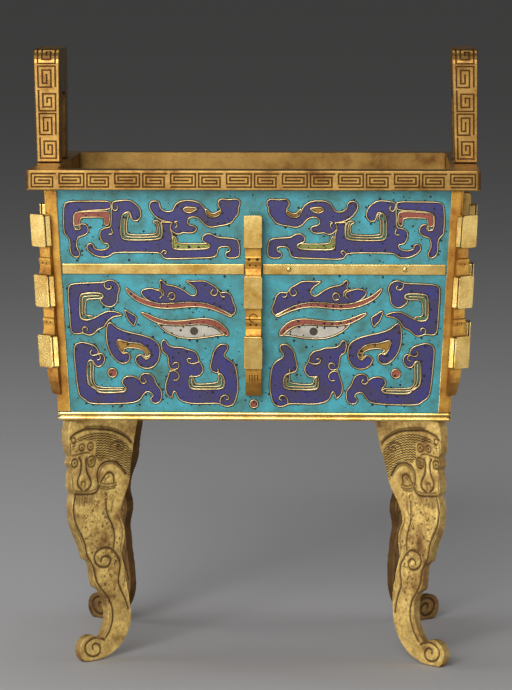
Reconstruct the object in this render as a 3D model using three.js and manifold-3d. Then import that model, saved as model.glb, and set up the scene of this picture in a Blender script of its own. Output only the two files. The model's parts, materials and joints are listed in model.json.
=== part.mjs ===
// A square censer in the form of an old bronze fangding: a hollow box that narrows downwards,
// a flat gilt rim with a key fret, two upright loop handles, notched flanges on the corners and
// in the middle of each wall, a gilt belt, a moulding round the foot of the box, and four flat
// legs cut as a beast's head above a scrolled foot, set at 45 degrees under the corners.
// Millimetres, +Z up, the front towards -Y. The origin is on the ground, at the middle of the feet.
import * as THREE from "three";
import { mergeVertices } from "three/addons/utils/BufferGeometryUtils.js";
import Module from "manifold-3d";

const wasm = await Module();
wasm.setup();

// Fit between pieces that touch
const seatGap = 0.25;

// Legs
const legHeight = 84.65;
const legReach = 32.87;
const legInset = 2.27;
const legTopThickness = 3.8;
const legFootThickness = 2.8;
const footDiscRadius = 4.75;
const footFlat = 3;
const carvingDepth = 0.45;
const carvingWidth = 0.75;
// How far each leg leans out from the pattern leg, how far its scroll is bent out besides, and
// how much slimmer its waist is cut
const legs = {
  front_left: { x: -1, y: -1, lean: 0, bend: -2.7, slim: 0 },
  front_right: { x: 1, y: -1, lean: 4.6, bend: 0, slim: 4 },
  back_left: { x: -1, y: 1, lean: 3, bend: -2.3, slim: 0 },
  back_right: { x: 1, y: 1, lean: 1.8, bend: 0, slim: 1 },
};

// Hollow box
const bodyTopWidth = 139;
const bodyTopDepth = 104.4;
const bodyTaper = 4.15;
const bodyHeight = 78.5;
const wall = 3;
const floorThickness = 3;

// Rim
const rimOverhang = 6.55;
const rimHeight = 6.7;
const rimCornerRadius = 1.2;

// Loop handles
const handleHeight = 39.2;
const handleSpan = 34;
const handleBar = 8.9;
const handleOpeningHeight = 23.8;
const handleBaseThickness = 7.9;
const handleTopThickness = 9;
const handleShoulder = 5;
const openingCorner = 2.5;
const handleLean = 0.65;

// Key fret
const fretBorder = 1.25;
const fretCellPitch = 9.3;
const fretCellGap = 0.95;
const handleCellPitch = 8.15;
const handleFretBorder = 1.2;
const grooveWidth = 0.62;
const grooveDepth = 0.45;

// Flanges: blocks at equal steps below one another, and a tail below the last
const blockCount = 3;
const blockHeight = 11;
const topBlockDrop = 8.1;
const tailRise = 8.9;
const blockStep = 2.6;
const blockDepth = 2.95;
const blockChamfer = 0.5;
const tongueHeight = 4.2;
const tongueDrawback = 2.4;
const tongueRounding = 1.4;
// A plate has one thickness where it meets the wall and another at its neck, behind the blocks
const centreSize = { projection: 7.6, blockWidth: 6.2, neck: 5.5, atWall: 5.5, root: 3 };
const cornerSize = { projection: 5.4, blockWidth: 7, neck: 5.5, atWall: 2.1, root: 1.2 };

// Corner posts, belt and foot moulding
const postWidth = 3.1;
const postProud = 0.8;
const beltHeight = 3.5;
const beltProud = 0.7;
const beadHeights = [1.15, 0.4, 1.3];
const beadProuds = [1.0, 0.5, 0.9];

// Heights and half sizes that follow from the sizes above
const bodyBase = legHeight + seatGap;
const bodyTop = bodyBase + bodyHeight;
const rimBase = bodyTop + seatGap;
const rimTop = rimBase + rimHeight;
const topHalf = new THREE.Vector2(bodyTopWidth / 2, bodyTopDepth / 2);
const baseHalf = new THREE.Vector2(topHalf.x - bodyTaper, topHalf.y - bodyTaper);
const blockPitch = (bodyHeight - topBlockDrop - tailRise) / blockCount;
const blockTops = Array.from({ length: blockCount }, (_, i) => bodyTop - topBlockDrop - i * blockPitch);
const tailEnd = bodyBase + tailRise;
const beltBottom = blockTops[1] + seatGap;
const mouldingTop = bodyBase + beadHeights.reduce((sum, height) => sum + height, 0);
const beyond = 10;

const gilt = { color: 0xc99a3c, roughness: 0.34, metalness: 1 };
const brightGilt = { color: 0xe6c25c, roughness: 0.28, metalness: 1 };
const enamelled = { color: 0x3fb0be, roughness: 0.3, metalness: 0 };

// Distance that the wall has moved outwards at height z, from where it starts at the base
function flareAt(z) {
  return (bodyTaper * (z - bodyBase)) / bodyHeight;
}

// Closed mesh to solid, and back
function toSolid(geometry) {
  const bare = geometry.index ? geometry.toNonIndexed() : geometry.clone();
  bare.deleteAttribute("normal");
  bare.deleteAttribute("uv");
  const merged = mergeVertices(bare, 1e-5);
  return new wasm.Manifold(
    new wasm.Mesh({
      numProp: 3,
      vertProperties: new Float32Array(merged.attributes.position.array),
      triVerts: new Uint32Array(merged.index.array),
    }),
  );
}

function toGeometry(solid) {
  const mesh = solid.getMesh();
  const geometry = new THREE.BufferGeometry();
  geometry.setAttribute("position", new THREE.BufferAttribute(mesh.vertProperties, 3));
  geometry.setIndex(new THREE.BufferAttribute(mesh.triVerts, 1));
  const flat = geometry.toNonIndexed();
  flat.computeVertexNormals();
  return flat;
}

function joined(solids) {
  return solids.reduce((sum, solid) => sum.add(solid));
}

function box(low, high) {
  const size = high.clone().sub(low);
  const middle = low.clone().add(high).multiplyScalar(0.5);
  const geometry = new THREE.BoxGeometry(size.x, size.y, size.z);
  return toSolid(geometry.translate(middle.x, middle.y, middle.z));
}

// Four-sided block with one half size at its base and another at its top
function taperedBlock(lowZ, lowHalf, highZ, highHalf) {
  const geometry = new THREE.BoxGeometry(2, 2, 1);
  const place = geometry.attributes.position;
  for (let i = 0; i < place.count; i++) {
    const isTop = place.getZ(i) > 0;
    const half = isTop ? highHalf : lowHalf;
    place.setXYZ(i, place.getX(i) * half.x, place.getY(i) * half.y, isTop ? highZ : lowZ);
  }
  return toSolid(geometry);
}

// Block that follows the walls between two heights, grown outwards by the given amounts
function wallBlock(lowZ, highZ, growX, growY = growX) {
  const halfAt = (z) =>
    new THREE.Vector2(baseHalf.x + flareAt(z) + growX, baseHalf.y + flareAt(z) + growY);
  return taperedBlock(lowZ, halfAt(lowZ), highZ, halfAt(highZ));
}

// Slab cut to an outline: the outline's x and y become the directions along and up,
// and its thickness is centred on the point at
function slab(outline, thickness, at, along, up) {
  const geometry = new THREE.ExtrudeGeometry(outline, {
    depth: thickness,
    bevelEnabled: false,
    curveSegments: 4,
  });
  const through = new THREE.Vector3().crossVectors(along, up);
  geometry.translate(0, 0, -thickness / 2);
  geometry.applyMatrix4(new THREE.Matrix4().makeBasis(along, up, through).setPosition(at));
  return toSolid(geometry);
}

function outlineOf(points) {
  return new THREE.Shape(points.map(([x, y]) => new THREE.Vector2(x, y)));
}

// Outline of a line of constant width drawn through the points, with mitred turns
function stroke(points, width) {
  const path = points.map(([x, y]) => new THREE.Vector2(x, y));
  const left = [];
  const right = [];
  path.forEach((point, i) => {
    const before = path[Math.max(i - 1, 0)];
    const after = path[Math.min(i + 1, path.length - 1)];
    const arriving = i > 0 ? point.clone().sub(before).normalize() : null;
    const leaving = i < path.length - 1 ? after.clone().sub(point).normalize() : null;
    const heading = (arriving ?? leaving).clone().add(leaving ?? arriving).normalize();
    const side = new THREE.Vector2(-heading.y, heading.x);
    const spread = width / 2 / Math.max(heading.dot(leaving ?? arriving), 0.5);
    left.push(point.clone().addScaledVector(side, spread));
    right.unshift(point.clone().addScaledVector(side, -spread));
  });
  return new THREE.Shape([...left, ...right]);
}

// Square spiral of a fret cell, from its open outer end to its middle, centred on 0, 0
function squareSpiral(width, height) {
  const x = width / 2;
  const y = height / 2;
  const row = height / 3;
  return [
    [x, y],
    [-x, y],
    [-x, -y],
    [x, -y],
    [x, y - row],
    [-x + row, y - row],
    [-x + row, -y + row],
    [x - row, -y + row],
  ];
}

function vesselBody() {
  const outside = wallBlock(bodyBase, bodyTop, 0);
  const inside = wallBlock(bodyBase + floorThickness, bodyTop + beyond, -wall);
  return outside.subtract(inside);
}

// Fret cells along a straight band: as many as fit, with the band's ends left plain
function fretBand(bandLength, bandHeight, at, along, up) {
  const count = Math.floor((bandLength - 2 * fretBorder) / fretCellPitch);
  const pitch = (bandLength - 2 * fretBorder) / count;
  const cell = squareSpiral(
    pitch - fretCellGap - grooveWidth,
    bandHeight - 2 * fretBorder + grooveWidth,
  );
  const cuts = [];
  for (let i = 0; i < count; i++) {
    const middle = at.clone().addScaledVector(along, (i - (count - 1) / 2) * pitch);
    cuts.push(slab(stroke(cell, grooveWidth), 2 * grooveDepth, middle, along, up));
  }
  return cuts;
}

function roundedRectangle(Path, halfX, halfY, radius) {
  const path = new Path();
  path.absarc(halfX - radius, halfY - radius, radius, 0, Math.PI / 2);
  path.absarc(-halfX + radius, halfY - radius, radius, Math.PI / 2, Math.PI);
  path.absarc(-halfX + radius, -halfY + radius, radius, Math.PI, 1.5 * Math.PI);
  path.absarc(halfX - radius, -halfY + radius, radius, 1.5 * Math.PI, 2 * Math.PI);
  return path;
}

const rimHalf = new THREE.Vector2(topHalf.x + rimOverhang, topHalf.y + rimOverhang);
const mouthHalf = new THREE.Vector2(topHalf.x - wall, topHalf.y - wall);

function rim() {
  const frame = roundedRectangle(THREE.Shape, rimHalf.x, rimHalf.y, rimCornerRadius);
  const mouth = new THREE.Path();
  mouth.moveTo(-mouthHalf.x, -mouthHalf.y);
  mouth.lineTo(-mouthHalf.x, mouthHalf.y);
  mouth.lineTo(mouthHalf.x, mouthHalf.y);
  mouth.lineTo(mouthHalf.x, -mouthHalf.y);
  frame.holes.push(mouth);
  const middleZ = rimBase + rimHeight / 2;
  const xAxis = new THREE.Vector3(1, 0, 0);
  const yAxis = new THREE.Vector3(0, 1, 0);
  const zAxis = new THREE.Vector3(0, 0, 1);
  const ring = slab(frame, rimHeight, new THREE.Vector3(0, 0, middleZ), xAxis, yAxis);
  const cuts = [];
  for (const side of [-1, 1]) {
    const face = new THREE.Vector3(0, side * rimHalf.y, middleZ);
    const run = xAxis.clone().multiplyScalar(-side);
    cuts.push(...fretBand(2 * rimHalf.x, rimHeight, face, run, zAxis));
    const end = new THREE.Vector3(side * rimHalf.x, 0, middleZ);
    const endRun = yAxis.clone().multiplyScalar(side);
    cuts.push(...fretBand(2 * rimHalf.y, rimHeight, end, endRun, zAxis));
  }
  return ring.subtract(joined(cuts));
}

// Loop handle on the middle of a short side, flush with the rim: side is -1 for the left one
// and 1 for the right one
function handle(side) {
  const half = handleSpan / 2;
  const outline = new THREE.Shape();
  outline.moveTo(-half, 0);
  outline.lineTo(-half + handleBar, 0);
  outline.lineTo(-half + handleBar, handleOpeningHeight - openingCorner);
  outline.absarc(
    -half + handleBar + openingCorner,
    handleOpeningHeight - openingCorner,
    openingCorner,
    Math.PI,
    Math.PI / 2,
    true,
  );
  outline.absarc(
    half - handleBar - openingCorner,
    handleOpeningHeight - openingCorner,
    openingCorner,
    Math.PI / 2,
    0,
    true,
  );
  outline.lineTo(half - handleBar, 0);
  outline.lineTo(half, 0);
  outline.absarc(
    half - handleShoulder,
    handleHeight - handleShoulder,
    handleShoulder,
    0,
    Math.PI / 2,
  );
  outline.absarc(
    -half + handleShoulder,
    handleHeight - handleShoulder,
    handleShoulder,
    Math.PI / 2,
    Math.PI,
  );
  const xAxis = new THREE.Vector3(1, 0, 0);
  const yAxis = new THREE.Vector3(0, 1, 0);
  const zAxis = new THREE.Vector3(0, 0, 1);
  const loop = slab(outline, handleBaseThickness, new THREE.Vector3(), yAxis, zAxis);
  const count = Math.floor((handleHeight - handleShoulder) / handleCellPitch);
  const cell = squareSpiral(
    handleCellPitch - fretCellGap - grooveWidth,
    handleBaseThickness - 2 * handleFretBorder + grooveWidth,
  );
  const cuts = [];
  for (const face of [-1, 1]) {
    for (let i = 0; i < count; i++) {
      const middle = new THREE.Vector3(
        0,
        face * half,
        handleFretBorder + (i + 0.5) * handleCellPitch,
      );
      const up = xAxis.clone().multiplyScalar(face);
      cuts.push(slab(stroke(cell, grooveWidth), 2 * grooveDepth, middle, zAxis, up));
    }
  }
  const middleX = side * (rimHalf.x - handleBaseThickness / 2);
  // Thicker towards the top, and leaning a little to the left
  return loop.subtract(joined(cuts)).warp((point) => {
    const share = point[2] / handleHeight;
    const swell = 1 + (handleTopThickness / handleBaseThickness - 1) * share;
    point[0] = middleX + point[0] * swell - handleLean * share;
    point[2] += rimTop + seatGap;
  });
}

// The recess below a block, and the tail below the last one: how far down its height each
// point lies, and how far the point stands out from the neck behind the blocks
const recessSteps = [
  [0.34, 0],
  [0.42, 0.4],
  [0.75, 0.2],
  [1, 0.75],
];
const tailSteps = [
  [0.35, -0.1],
  [0.7, -0.6],
  [1, -1.2],
];
// How deep a plate's neck runs on behind the next block
const blockLap = 1;

// Edge of a flange plate from top to bottom, as distance out from the wall and height
function flangeEdge(projection, hasTongue) {
  const neck = projection - blockStep;
  const edge = [];
  if (hasTongue) {
    const top = blockTops[0] + tongueHeight;
    const reach = projection - tongueDrawback;
    edge.push([reach - tongueRounding, top]);
    edge.push([reach - tongueRounding / 4, top - tongueRounding / 4]);
    edge.push([reach, top - tongueRounding]);
    edge.push([reach, blockTops[0] - blockLap]);
  } else {
    edge.push([neck, blockTops[0] - blockLap]);
  }
  blockTops.forEach((top, i) => {
    const isLast = i + 1 === blockTops.length;
    const bottom = top - blockHeight;
    const drop = bottom - (isLast ? tailEnd : blockTops[i + 1]);
    for (const [share, step] of isLast ? tailSteps : recessSteps) {
      edge.push([neck + step, bottom - share * drop]);
    }
    if (!isLast) edge.push([neck, blockTops[i + 1] - blockLap]);
  });
  return edge;
}

// Flange plate with blocks on its edge, set against the wall along the direction out.
// foot is the point where the wall or corner starts at the base, and flareShare is how far
// it moves along out for each millimetre that the wall flares
function flangePlate(size, hasTongue, foot, out, flareShare) {
  const up = new THREE.Vector3(0, 0, 1);
  const across = new THREE.Vector3().crossVectors(out, up);
  const edge = flangeEdge(size.projection, hasTongue);
  const outerNeck = size.projection - blockStep;
  const followed = ([distance, z]) => [distance + flareAt(z) * flareShare, z];
  const top = edge[0][1];
  const bottom = edge[edge.length - 1][1];
  const plateOutline = [[-size.root, top], ...edge, [-size.root, bottom]].map(followed);
  const plate = slab(outlineOf(plateOutline), size.neck, foot, out, up).warp((point) => {
    const away = new THREE.Vector3(point[0] - foot.x, point[1] - foot.y, 0);
    const share = (away.dot(out) - flareAt(point[2]) * flareShare) / outerNeck;
    const thickness = size.atWall + (size.neck - size.atWall) * share;
    const shift = away.dot(across) * (thickness / size.neck - 1);
    point[0] += across.x * shift;
    point[1] += across.y * shift;
  });
  const pieces = [plate];
  for (const blockTop of blockTops) {
    const blockBottom = blockTop - blockHeight;
    const block = [
      [size.projection - blockDepth, blockTop],
      [size.projection - blockChamfer / 2, blockTop],
      [size.projection, blockTop - blockChamfer],
      [size.projection, blockBottom + blockChamfer],
      [size.projection - blockChamfer / 2, blockBottom],
      [size.projection - blockDepth, blockBottom],
    ].map(followed);
    pieces.push(slab(outlineOf(block), size.blockWidth, foot, out, up));
  }
  return joined(pieces);
}

const walledSpace = wallBlock(bodyBase - beyond, bodyTop + beyond, seatGap);

function centreFlange(out, hasTongue) {
  const foot = new THREE.Vector3(out.x * baseHalf.x, out.y * baseHalf.y, 0);
  return flangePlate(centreSize, hasTongue, foot, out, 1).subtract(walledSpace);
}

// The four corner posts: angles that cover the edges of the box between moulding and rim
function cornerPosts() {
  const low = mouldingTop + seatGap;
  const skin = wallBlock(low, bodyTop, seatGap + postProud);
  const betweenX = wallBlock(low - beyond, bodyTop + beyond, -postWidth, beyond);
  const betweenY = wallBlock(low - beyond, bodyTop + beyond, beyond, -postWidth);
  return skin.subtract(walledSpace).subtract(betweenX).subtract(betweenY);
}

const allPosts = cornerPosts();

function cornerFlange(x, y) {
  const out = new THREE.Vector3(x, y, 0).normalize();
  const foot = new THREE.Vector3(x * baseHalf.x, y * baseHalf.y, 0);
  const plate = flangePlate(cornerSize, false, foot, out, Math.SQRT2);
  const farX = x * (topHalf.x + rimOverhang + beyond);
  const farY = y * (topHalf.y + rimOverhang + beyond);
  const quarter = box(
    new THREE.Vector3(Math.min(0, farX), Math.min(0, farY), bodyBase - beyond),
    new THREE.Vector3(Math.max(0, farX), Math.max(0, farY), bodyTop + beyond),
  );
  return allPosts.intersect(quarter).add(plate.subtract(walledSpace));
}

// Strip of the belt between a corner post and a centre flange: out is the way its wall faces,
// and run the way from the flange to the post
function beltStrip(out, run) {
  const high = beltBottom + beltHeight;
  const skin = wallBlock(beltBottom, high, seatGap + beltProud).subtract(walledSpace);
  const corner = new THREE.Vector3(baseHalf.x, baseHalf.y, 0).addScalar(flareAt(beltBottom));
  const inner = centreSize.neck / 2 + seatGap;
  const outer = Math.abs(corner.dot(run)) - postWidth - seatGap;
  const near = run.clone().multiplyScalar(inner);
  const far = run.clone().multiplyScalar(outer).addScaledVector(out, rimHalf.x + beyond);
  return skin.intersect(
    box(near.clone().min(far).setZ(beltBottom - beyond), near.clone().max(far).setZ(high + beyond)),
  );
}

function baseMoulding() {
  let z = bodyBase;
  const steps = beadHeights.map((height, i) => {
    const step = wallBlock(z, z + height, seatGap + beadProuds[i]);
    z += height;
    return step;
  });
  return joined(steps).subtract(walledSpace);
}

// Edges of a leg, outer then inner: each point as a share of the leg's depth, in from the corner,
// and of its height. The outer edge steps in and out as brow, nose, mouth and chin, and then
// as shank and spur. The inner edge starts at the ground and runs up
const outerEdge = [
  [0, 1],
  [-0.026, 0.955],
  [-0.033, 0.915],
  [-0.01, 0.87],
  [0.036, 0.85],
  [0, 0.832],
  [0.007, 0.815],
  [0.052, 0.8],
  [0.013, 0.78],
  [0.02, 0.715],
  [0.065, 0.695],
  [0.026, 0.672],
  [0.036, 0.58],
  [0.095, 0.535],
  [0.176, 0.48],
  [0.213, 0.428],
  [0.292, 0.412],
  [0.328, 0.365],
  [0.346, 0.304],
  [0.43, 0.29],
  [0.478, 0.25],
  [0.499, 0.208],
  [0.484, 0.16],
  [0.408, 0.115],
];
const innerEdge = [
  [0.382, 0.004],
  [0.542, 0.021],
  [0.703, 0.061],
  [0.804, 0.126],
  [0.837, 0.189],
  [0.824, 0.284],
  [0.797, 0.366],
  [0.761, 0.413],
  [0.765, 0.45],
  [0.804, 0.49],
  [0.801, 0.535],
  [0.735, 0.579],
  [0.758, 0.638],
  [0.83, 0.685],
  [0.879, 0.727],
  [0.889, 0.79],
  [0.928, 0.868],
  [0.98, 0.945],
  [1, 1],
];
const footDiscDepth = 0.203;
const footDiscStart = THREE.MathUtils.degToRad(150);
// Where the waist is slimmest, and how far above and below the slimming reaches
const waistHeight = 0.57;
const waistReach = 0.3;
// The shares of the depth between which the slimming of the inner edge fades in
const slimFrom = 0.35;
const slimTo = 0.74;
// The shares of the height between which the bend of the scroll fades out
const bendFrom = 0.1;
const bendTo = 0.36;

// Place of a point on one leg, with its lean, the bend of its scroll and the slimness of its
// waist: distance out from the corner, and height
function legPoint([depth, height], leg) {
  const inset = legInset + depth * (legReach - legInset);
  const waist = Math.max(0, 1 - Math.abs(height - waistHeight) / waistReach);
  const inward = THREE.MathUtils.smoothstep(depth, slimFrom, slimTo);
  const bent = 1 - THREE.MathUtils.smoothstep(height, bendFrom, bendTo);
  const moved = leg.lean * (1 - height) + leg.bend * bent + leg.slim * waist * inward;
  return [moved - inset, height * legHeight];
}

function legOutline(leg, discCentre) {
  const finish = -Math.PI / 2 + Math.asin(footFlat / 2 / footDiscRadius);
  const steps = 9;
  const disc = [];
  for (let i = 0; i <= steps; i++) {
    const angle = footDiscStart + ((finish - footDiscStart) * i) / steps;
    disc.push([
      discCentre[0] + footDiscRadius * Math.cos(angle),
      Math.max(0, discCentre[1] + footDiscRadius * Math.sin(angle)),
    ]);
  }
  disc.push([discCentre[0] - footFlat / 2, 0]);
  return [
    ...outerEdge.map((point) => legPoint(point, leg)),
    ...disc,
    ...innerEdge.map((point) => legPoint(point, leg)),
  ];
}

// Carved lines of the beast's head, the border down the shank and the curls, as shares too
const headArc = [
  [0.013, 0.93],
  [0.183, 0.952],
  [0.444, 0.957],
  [0.706, 0.931],
  [0.902, 0.881],
];
const nose = [
  [0.15, 0.858],
  [0.17, 0.794],
  [0.108, 0.742],
  [0.209, 0.709],
  [0.31, 0.74],
  [0.232, 0.794],
  [0.252, 0.858],
];
const ear = [
  [0.451, 0.714],
  [0.408, 0.766],
  [0.477, 0.81],
  [0.608, 0.813],
  [0.725, 0.795],
  [0.83, 0.751],
];
const mouth = [
  [0.085, 0.692],
  [0.373, 0.692],
];
const outerBorder = [
  [0.111, 0.669],
  [0.105, 0.585],
  [0.235, 0.515],
  [0.291, 0.425],
  [0.399, 0.354],
  [0.418, 0.295],
  [0.556, 0.219],
  [0.529, 0.142],
  [0.444, 0.102],
];
const eyes = [
  [0.059, 0.822],
  [0.327, 0.822],
];
const eyeRadius = 1.5;
const curlCentre = [0.523, 0.418];
const curlRadius = 4;
const curlEnd = 1.2;

// Round spiral that closes in on its centre, turning by the given number of turns
function roundSpiral(centre, startRadius, endRadius, startAngle, turns) {
  const steps = 6;
  return Array.from({ length: steps + 1 }, (_, i) => {
    const radius = startRadius + ((endRadius - startRadius) * i) / steps;
    const angle = startAngle + (turns * 2 * Math.PI * i) / steps;
    return [centre[0] + radius * Math.cos(angle), centre[1] + radius * Math.sin(angle)];
  });
}

// Six-sided hollow for an eye
function eyeOutline([x, z]) {
  const corners = Array.from({ length: 6 }, (_, i) => {
    const angle = (i * Math.PI) / 3;
    return [x + eyeRadius * Math.cos(angle), z + eyeRadius * Math.sin(angle)];
  });
  return outlineOf(corners);
}

function legPlate(leg) {
  const [discX] = legPoint([footDiscDepth, 0], leg);
  const discCentre = [discX, Math.sqrt(footDiscRadius ** 2 - (footFlat / 2) ** 2)];
  const along = new THREE.Vector3(1, 0, 0);
  const up = new THREE.Vector3(0, 0, 1);
  const outline = outlineOf(legOutline(leg, discCentre));
  const plate = slab(outline, legTopThickness, new THREE.Vector3(), along, up);
  const placed = (line) => line.map((point) => legPoint(point, leg));
  const curl = roundSpiral(legPoint(curlCentre, leg), curlRadius, curlEnd, 1.2 * Math.PI, -1.3);
  const footCurl = roundSpiral(discCentre, 0.7 * footDiscRadius, curlEnd, Math.PI, -1.2);
  const lines = [...[headArc, nose, ear, mouth, outerBorder].map(placed), curl, footCurl];
  const carvings = [
    ...lines.map((line) => stroke(line, carvingWidth)),
    ...placed(eyes).map(eyeOutline),
  ];
  const cuts = [];
  for (const face of [-1, 1]) {
    const at = new THREE.Vector3(0, (face * legTopThickness) / 2, 0);
    for (const carving of carvings) {
      cuts.push(slab(carving, 2 * carvingDepth, at, along, up));
    }
  }
  return plate.subtract(joined(cuts));
}

// Leg plate stood under its corner, thinner towards the foot
function standingLeg(leg) {
  const out = new THREE.Vector3(leg.x, leg.y, 0).normalize();
  const across = new THREE.Vector3(0, 0, 1).cross(out);
  const corner = new THREE.Vector3(leg.x * baseHalf.x, leg.y * baseHalf.y, 0);
  return legPlate(leg).warp((point) => {
    const share = point[2] / legHeight;
    const thinning = 1 - (1 - legFootThickness / legTopThickness) * (1 - share);
    const place = corner
      .clone()
      .addScaledVector(out, point[0])
      .addScaledVector(across, point[1] * thinning);
    point[0] = place.x;
    point[1] = place.y;
  });
}

const censer = new THREE.Group();

function addPiece(name, solid, finish) {
  const piece = new THREE.Mesh(toGeometry(solid), new THREE.MeshStandardMaterial(finish));
  piece.name = name;
  censer.add(piece);
}

addPiece("vessel_body", vesselBody(), enamelled);
addPiece("rim", rim(), gilt);
addPiece("handle_left", handle(-1), gilt);
addPiece("handle_right", handle(1), gilt);

const sides = {
  front: new THREE.Vector3(0, -1, 0),
  right: new THREE.Vector3(1, 0, 0),
  back: new THREE.Vector3(0, 1, 0),
  left: new THREE.Vector3(-1, 0, 0),
};
for (const [name, out] of Object.entries(sides)) {
  addPiece("centre_flange_" + name, centreFlange(out, out.x !== 0), brightGilt);
}
for (const [name, corner] of Object.entries(legs)) {
  addPiece("corner_flange_" + name, cornerFlange(corner.x, corner.y), brightGilt);
}
for (const name of ["front", "back"]) {
  addPiece("belt_" + name + "_left", beltStrip(sides[name], sides.left), brightGilt);
  addPiece("belt_" + name + "_right", beltStrip(sides[name], sides.right), brightGilt);
}
for (const name of ["left", "right"]) {
  addPiece("belt_" + name + "_front", beltStrip(sides[name], sides.front), brightGilt);
  addPiece("belt_" + name + "_back", beltStrip(sides[name], sides.back), brightGilt);
}
addPiece("base_moulding", baseMoulding(), brightGilt);
for (const [name, leg] of Object.entries(legs)) {
  addPiece("leg_" + name, standingLeg(leg), gilt);
}

export default censer;
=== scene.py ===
import sys
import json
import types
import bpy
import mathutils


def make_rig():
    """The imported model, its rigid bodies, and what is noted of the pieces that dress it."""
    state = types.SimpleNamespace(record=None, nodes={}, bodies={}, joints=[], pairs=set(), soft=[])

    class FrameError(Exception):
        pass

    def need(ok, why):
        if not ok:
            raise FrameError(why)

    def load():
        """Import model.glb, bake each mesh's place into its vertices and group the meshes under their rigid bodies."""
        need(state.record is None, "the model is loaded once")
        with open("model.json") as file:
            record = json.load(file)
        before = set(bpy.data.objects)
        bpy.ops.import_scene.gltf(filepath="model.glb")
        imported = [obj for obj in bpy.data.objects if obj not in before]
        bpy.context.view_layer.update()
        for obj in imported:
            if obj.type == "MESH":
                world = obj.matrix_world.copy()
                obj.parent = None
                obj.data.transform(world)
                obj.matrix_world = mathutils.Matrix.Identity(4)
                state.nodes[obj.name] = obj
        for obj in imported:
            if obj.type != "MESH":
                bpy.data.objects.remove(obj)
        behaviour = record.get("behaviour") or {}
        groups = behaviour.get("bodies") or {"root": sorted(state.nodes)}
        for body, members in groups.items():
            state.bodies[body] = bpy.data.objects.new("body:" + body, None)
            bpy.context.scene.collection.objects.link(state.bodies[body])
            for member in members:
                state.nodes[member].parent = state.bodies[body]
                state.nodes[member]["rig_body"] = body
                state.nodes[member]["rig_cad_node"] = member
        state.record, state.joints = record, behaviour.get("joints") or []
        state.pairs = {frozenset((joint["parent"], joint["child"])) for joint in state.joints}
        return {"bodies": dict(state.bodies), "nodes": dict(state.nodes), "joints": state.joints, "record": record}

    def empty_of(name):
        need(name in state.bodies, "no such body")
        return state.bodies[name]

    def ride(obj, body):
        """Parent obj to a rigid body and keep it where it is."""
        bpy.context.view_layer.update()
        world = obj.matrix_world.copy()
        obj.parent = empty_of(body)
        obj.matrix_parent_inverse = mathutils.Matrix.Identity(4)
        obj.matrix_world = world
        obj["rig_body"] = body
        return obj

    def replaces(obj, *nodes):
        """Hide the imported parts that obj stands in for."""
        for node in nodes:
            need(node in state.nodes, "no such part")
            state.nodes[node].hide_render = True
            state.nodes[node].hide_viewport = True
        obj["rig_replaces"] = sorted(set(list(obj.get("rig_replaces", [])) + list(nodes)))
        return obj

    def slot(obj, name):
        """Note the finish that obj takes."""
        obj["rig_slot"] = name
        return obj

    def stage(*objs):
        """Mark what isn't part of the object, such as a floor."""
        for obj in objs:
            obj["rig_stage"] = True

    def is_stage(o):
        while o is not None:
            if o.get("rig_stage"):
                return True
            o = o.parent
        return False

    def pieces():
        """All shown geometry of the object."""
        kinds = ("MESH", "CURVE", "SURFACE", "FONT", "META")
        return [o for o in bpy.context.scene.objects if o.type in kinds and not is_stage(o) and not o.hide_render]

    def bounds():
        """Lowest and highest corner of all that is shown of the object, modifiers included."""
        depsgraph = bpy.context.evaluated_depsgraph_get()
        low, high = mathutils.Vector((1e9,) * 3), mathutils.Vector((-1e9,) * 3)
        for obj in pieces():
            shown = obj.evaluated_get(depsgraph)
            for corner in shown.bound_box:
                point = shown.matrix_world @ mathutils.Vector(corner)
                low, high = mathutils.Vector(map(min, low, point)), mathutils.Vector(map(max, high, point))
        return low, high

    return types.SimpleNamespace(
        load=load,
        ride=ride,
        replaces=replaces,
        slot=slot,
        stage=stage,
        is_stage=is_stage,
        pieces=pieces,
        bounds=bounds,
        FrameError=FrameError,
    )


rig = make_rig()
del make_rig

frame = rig.load()
cad_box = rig.bounds()

import json
import math
import random

import bmesh
import bpy
import numpy as np
from bpy.props import FloatProperty, FloatVectorProperty, PointerProperty
from mathutils import Matrix, Vector

bl_info = {
    "name": "Cloisonne incense burner",
    "version": (1, 0, 0),
    "blender": (4, 5, 0),
    "location": "View3D > Sidebar > Censer",
    "description": "Dresses the square censer: enamel, key fret, flanges, beast legs and studio",
    "category": "Object",
}

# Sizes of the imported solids, in millimetres
BODY_FOOT = 84.9
BODY_HEIGHT = 78.5
BODY_TAPER = 4.15
FOOT_HALF = {"x": 65.35, "y": 48.05}
WALL_GAP = 0.25
RIM_LOW = 163.65
RIM_HIGH = 170.35
RIM_HALF = (76.05, 58.75)
MOUTH_HALF = (66.5, 49.2)
FLARE = BODY_TAPER / BODY_HEIGHT

WALLS = {
    "front": Vector((0, -1, 0)),
    "right": Vector((1, 0, 0)),
    "back": Vector((0, 1, 0)),
    "left": Vector((-1, 0, 0)),
}
UP = Vector((0, 0, 1))


def linear(hex_colour):
    """Turns an sRGB hex value to the linear colour that a shader takes."""
    channels = [int(hex_colour[i:i + 2], 16) / 255 for i in (1, 3, 5)]
    return [c / 12.92 if c <= 0.04045 else ((c + 0.055) / 1.055) ** 2.4 for c in channels] + [1.0]


def size_field(name, description, millimetres):
    return FloatProperty(
        name=name, description=description, default=millimetres / 1000, min=0, precision=5,
        unit="LENGTH")


def colour_field(name, description, hex_colour):
    return FloatVectorProperty(
        name=name, description=description, default=linear(hex_colour), size=4, min=0, max=1,
        subtype="COLOR")


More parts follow.
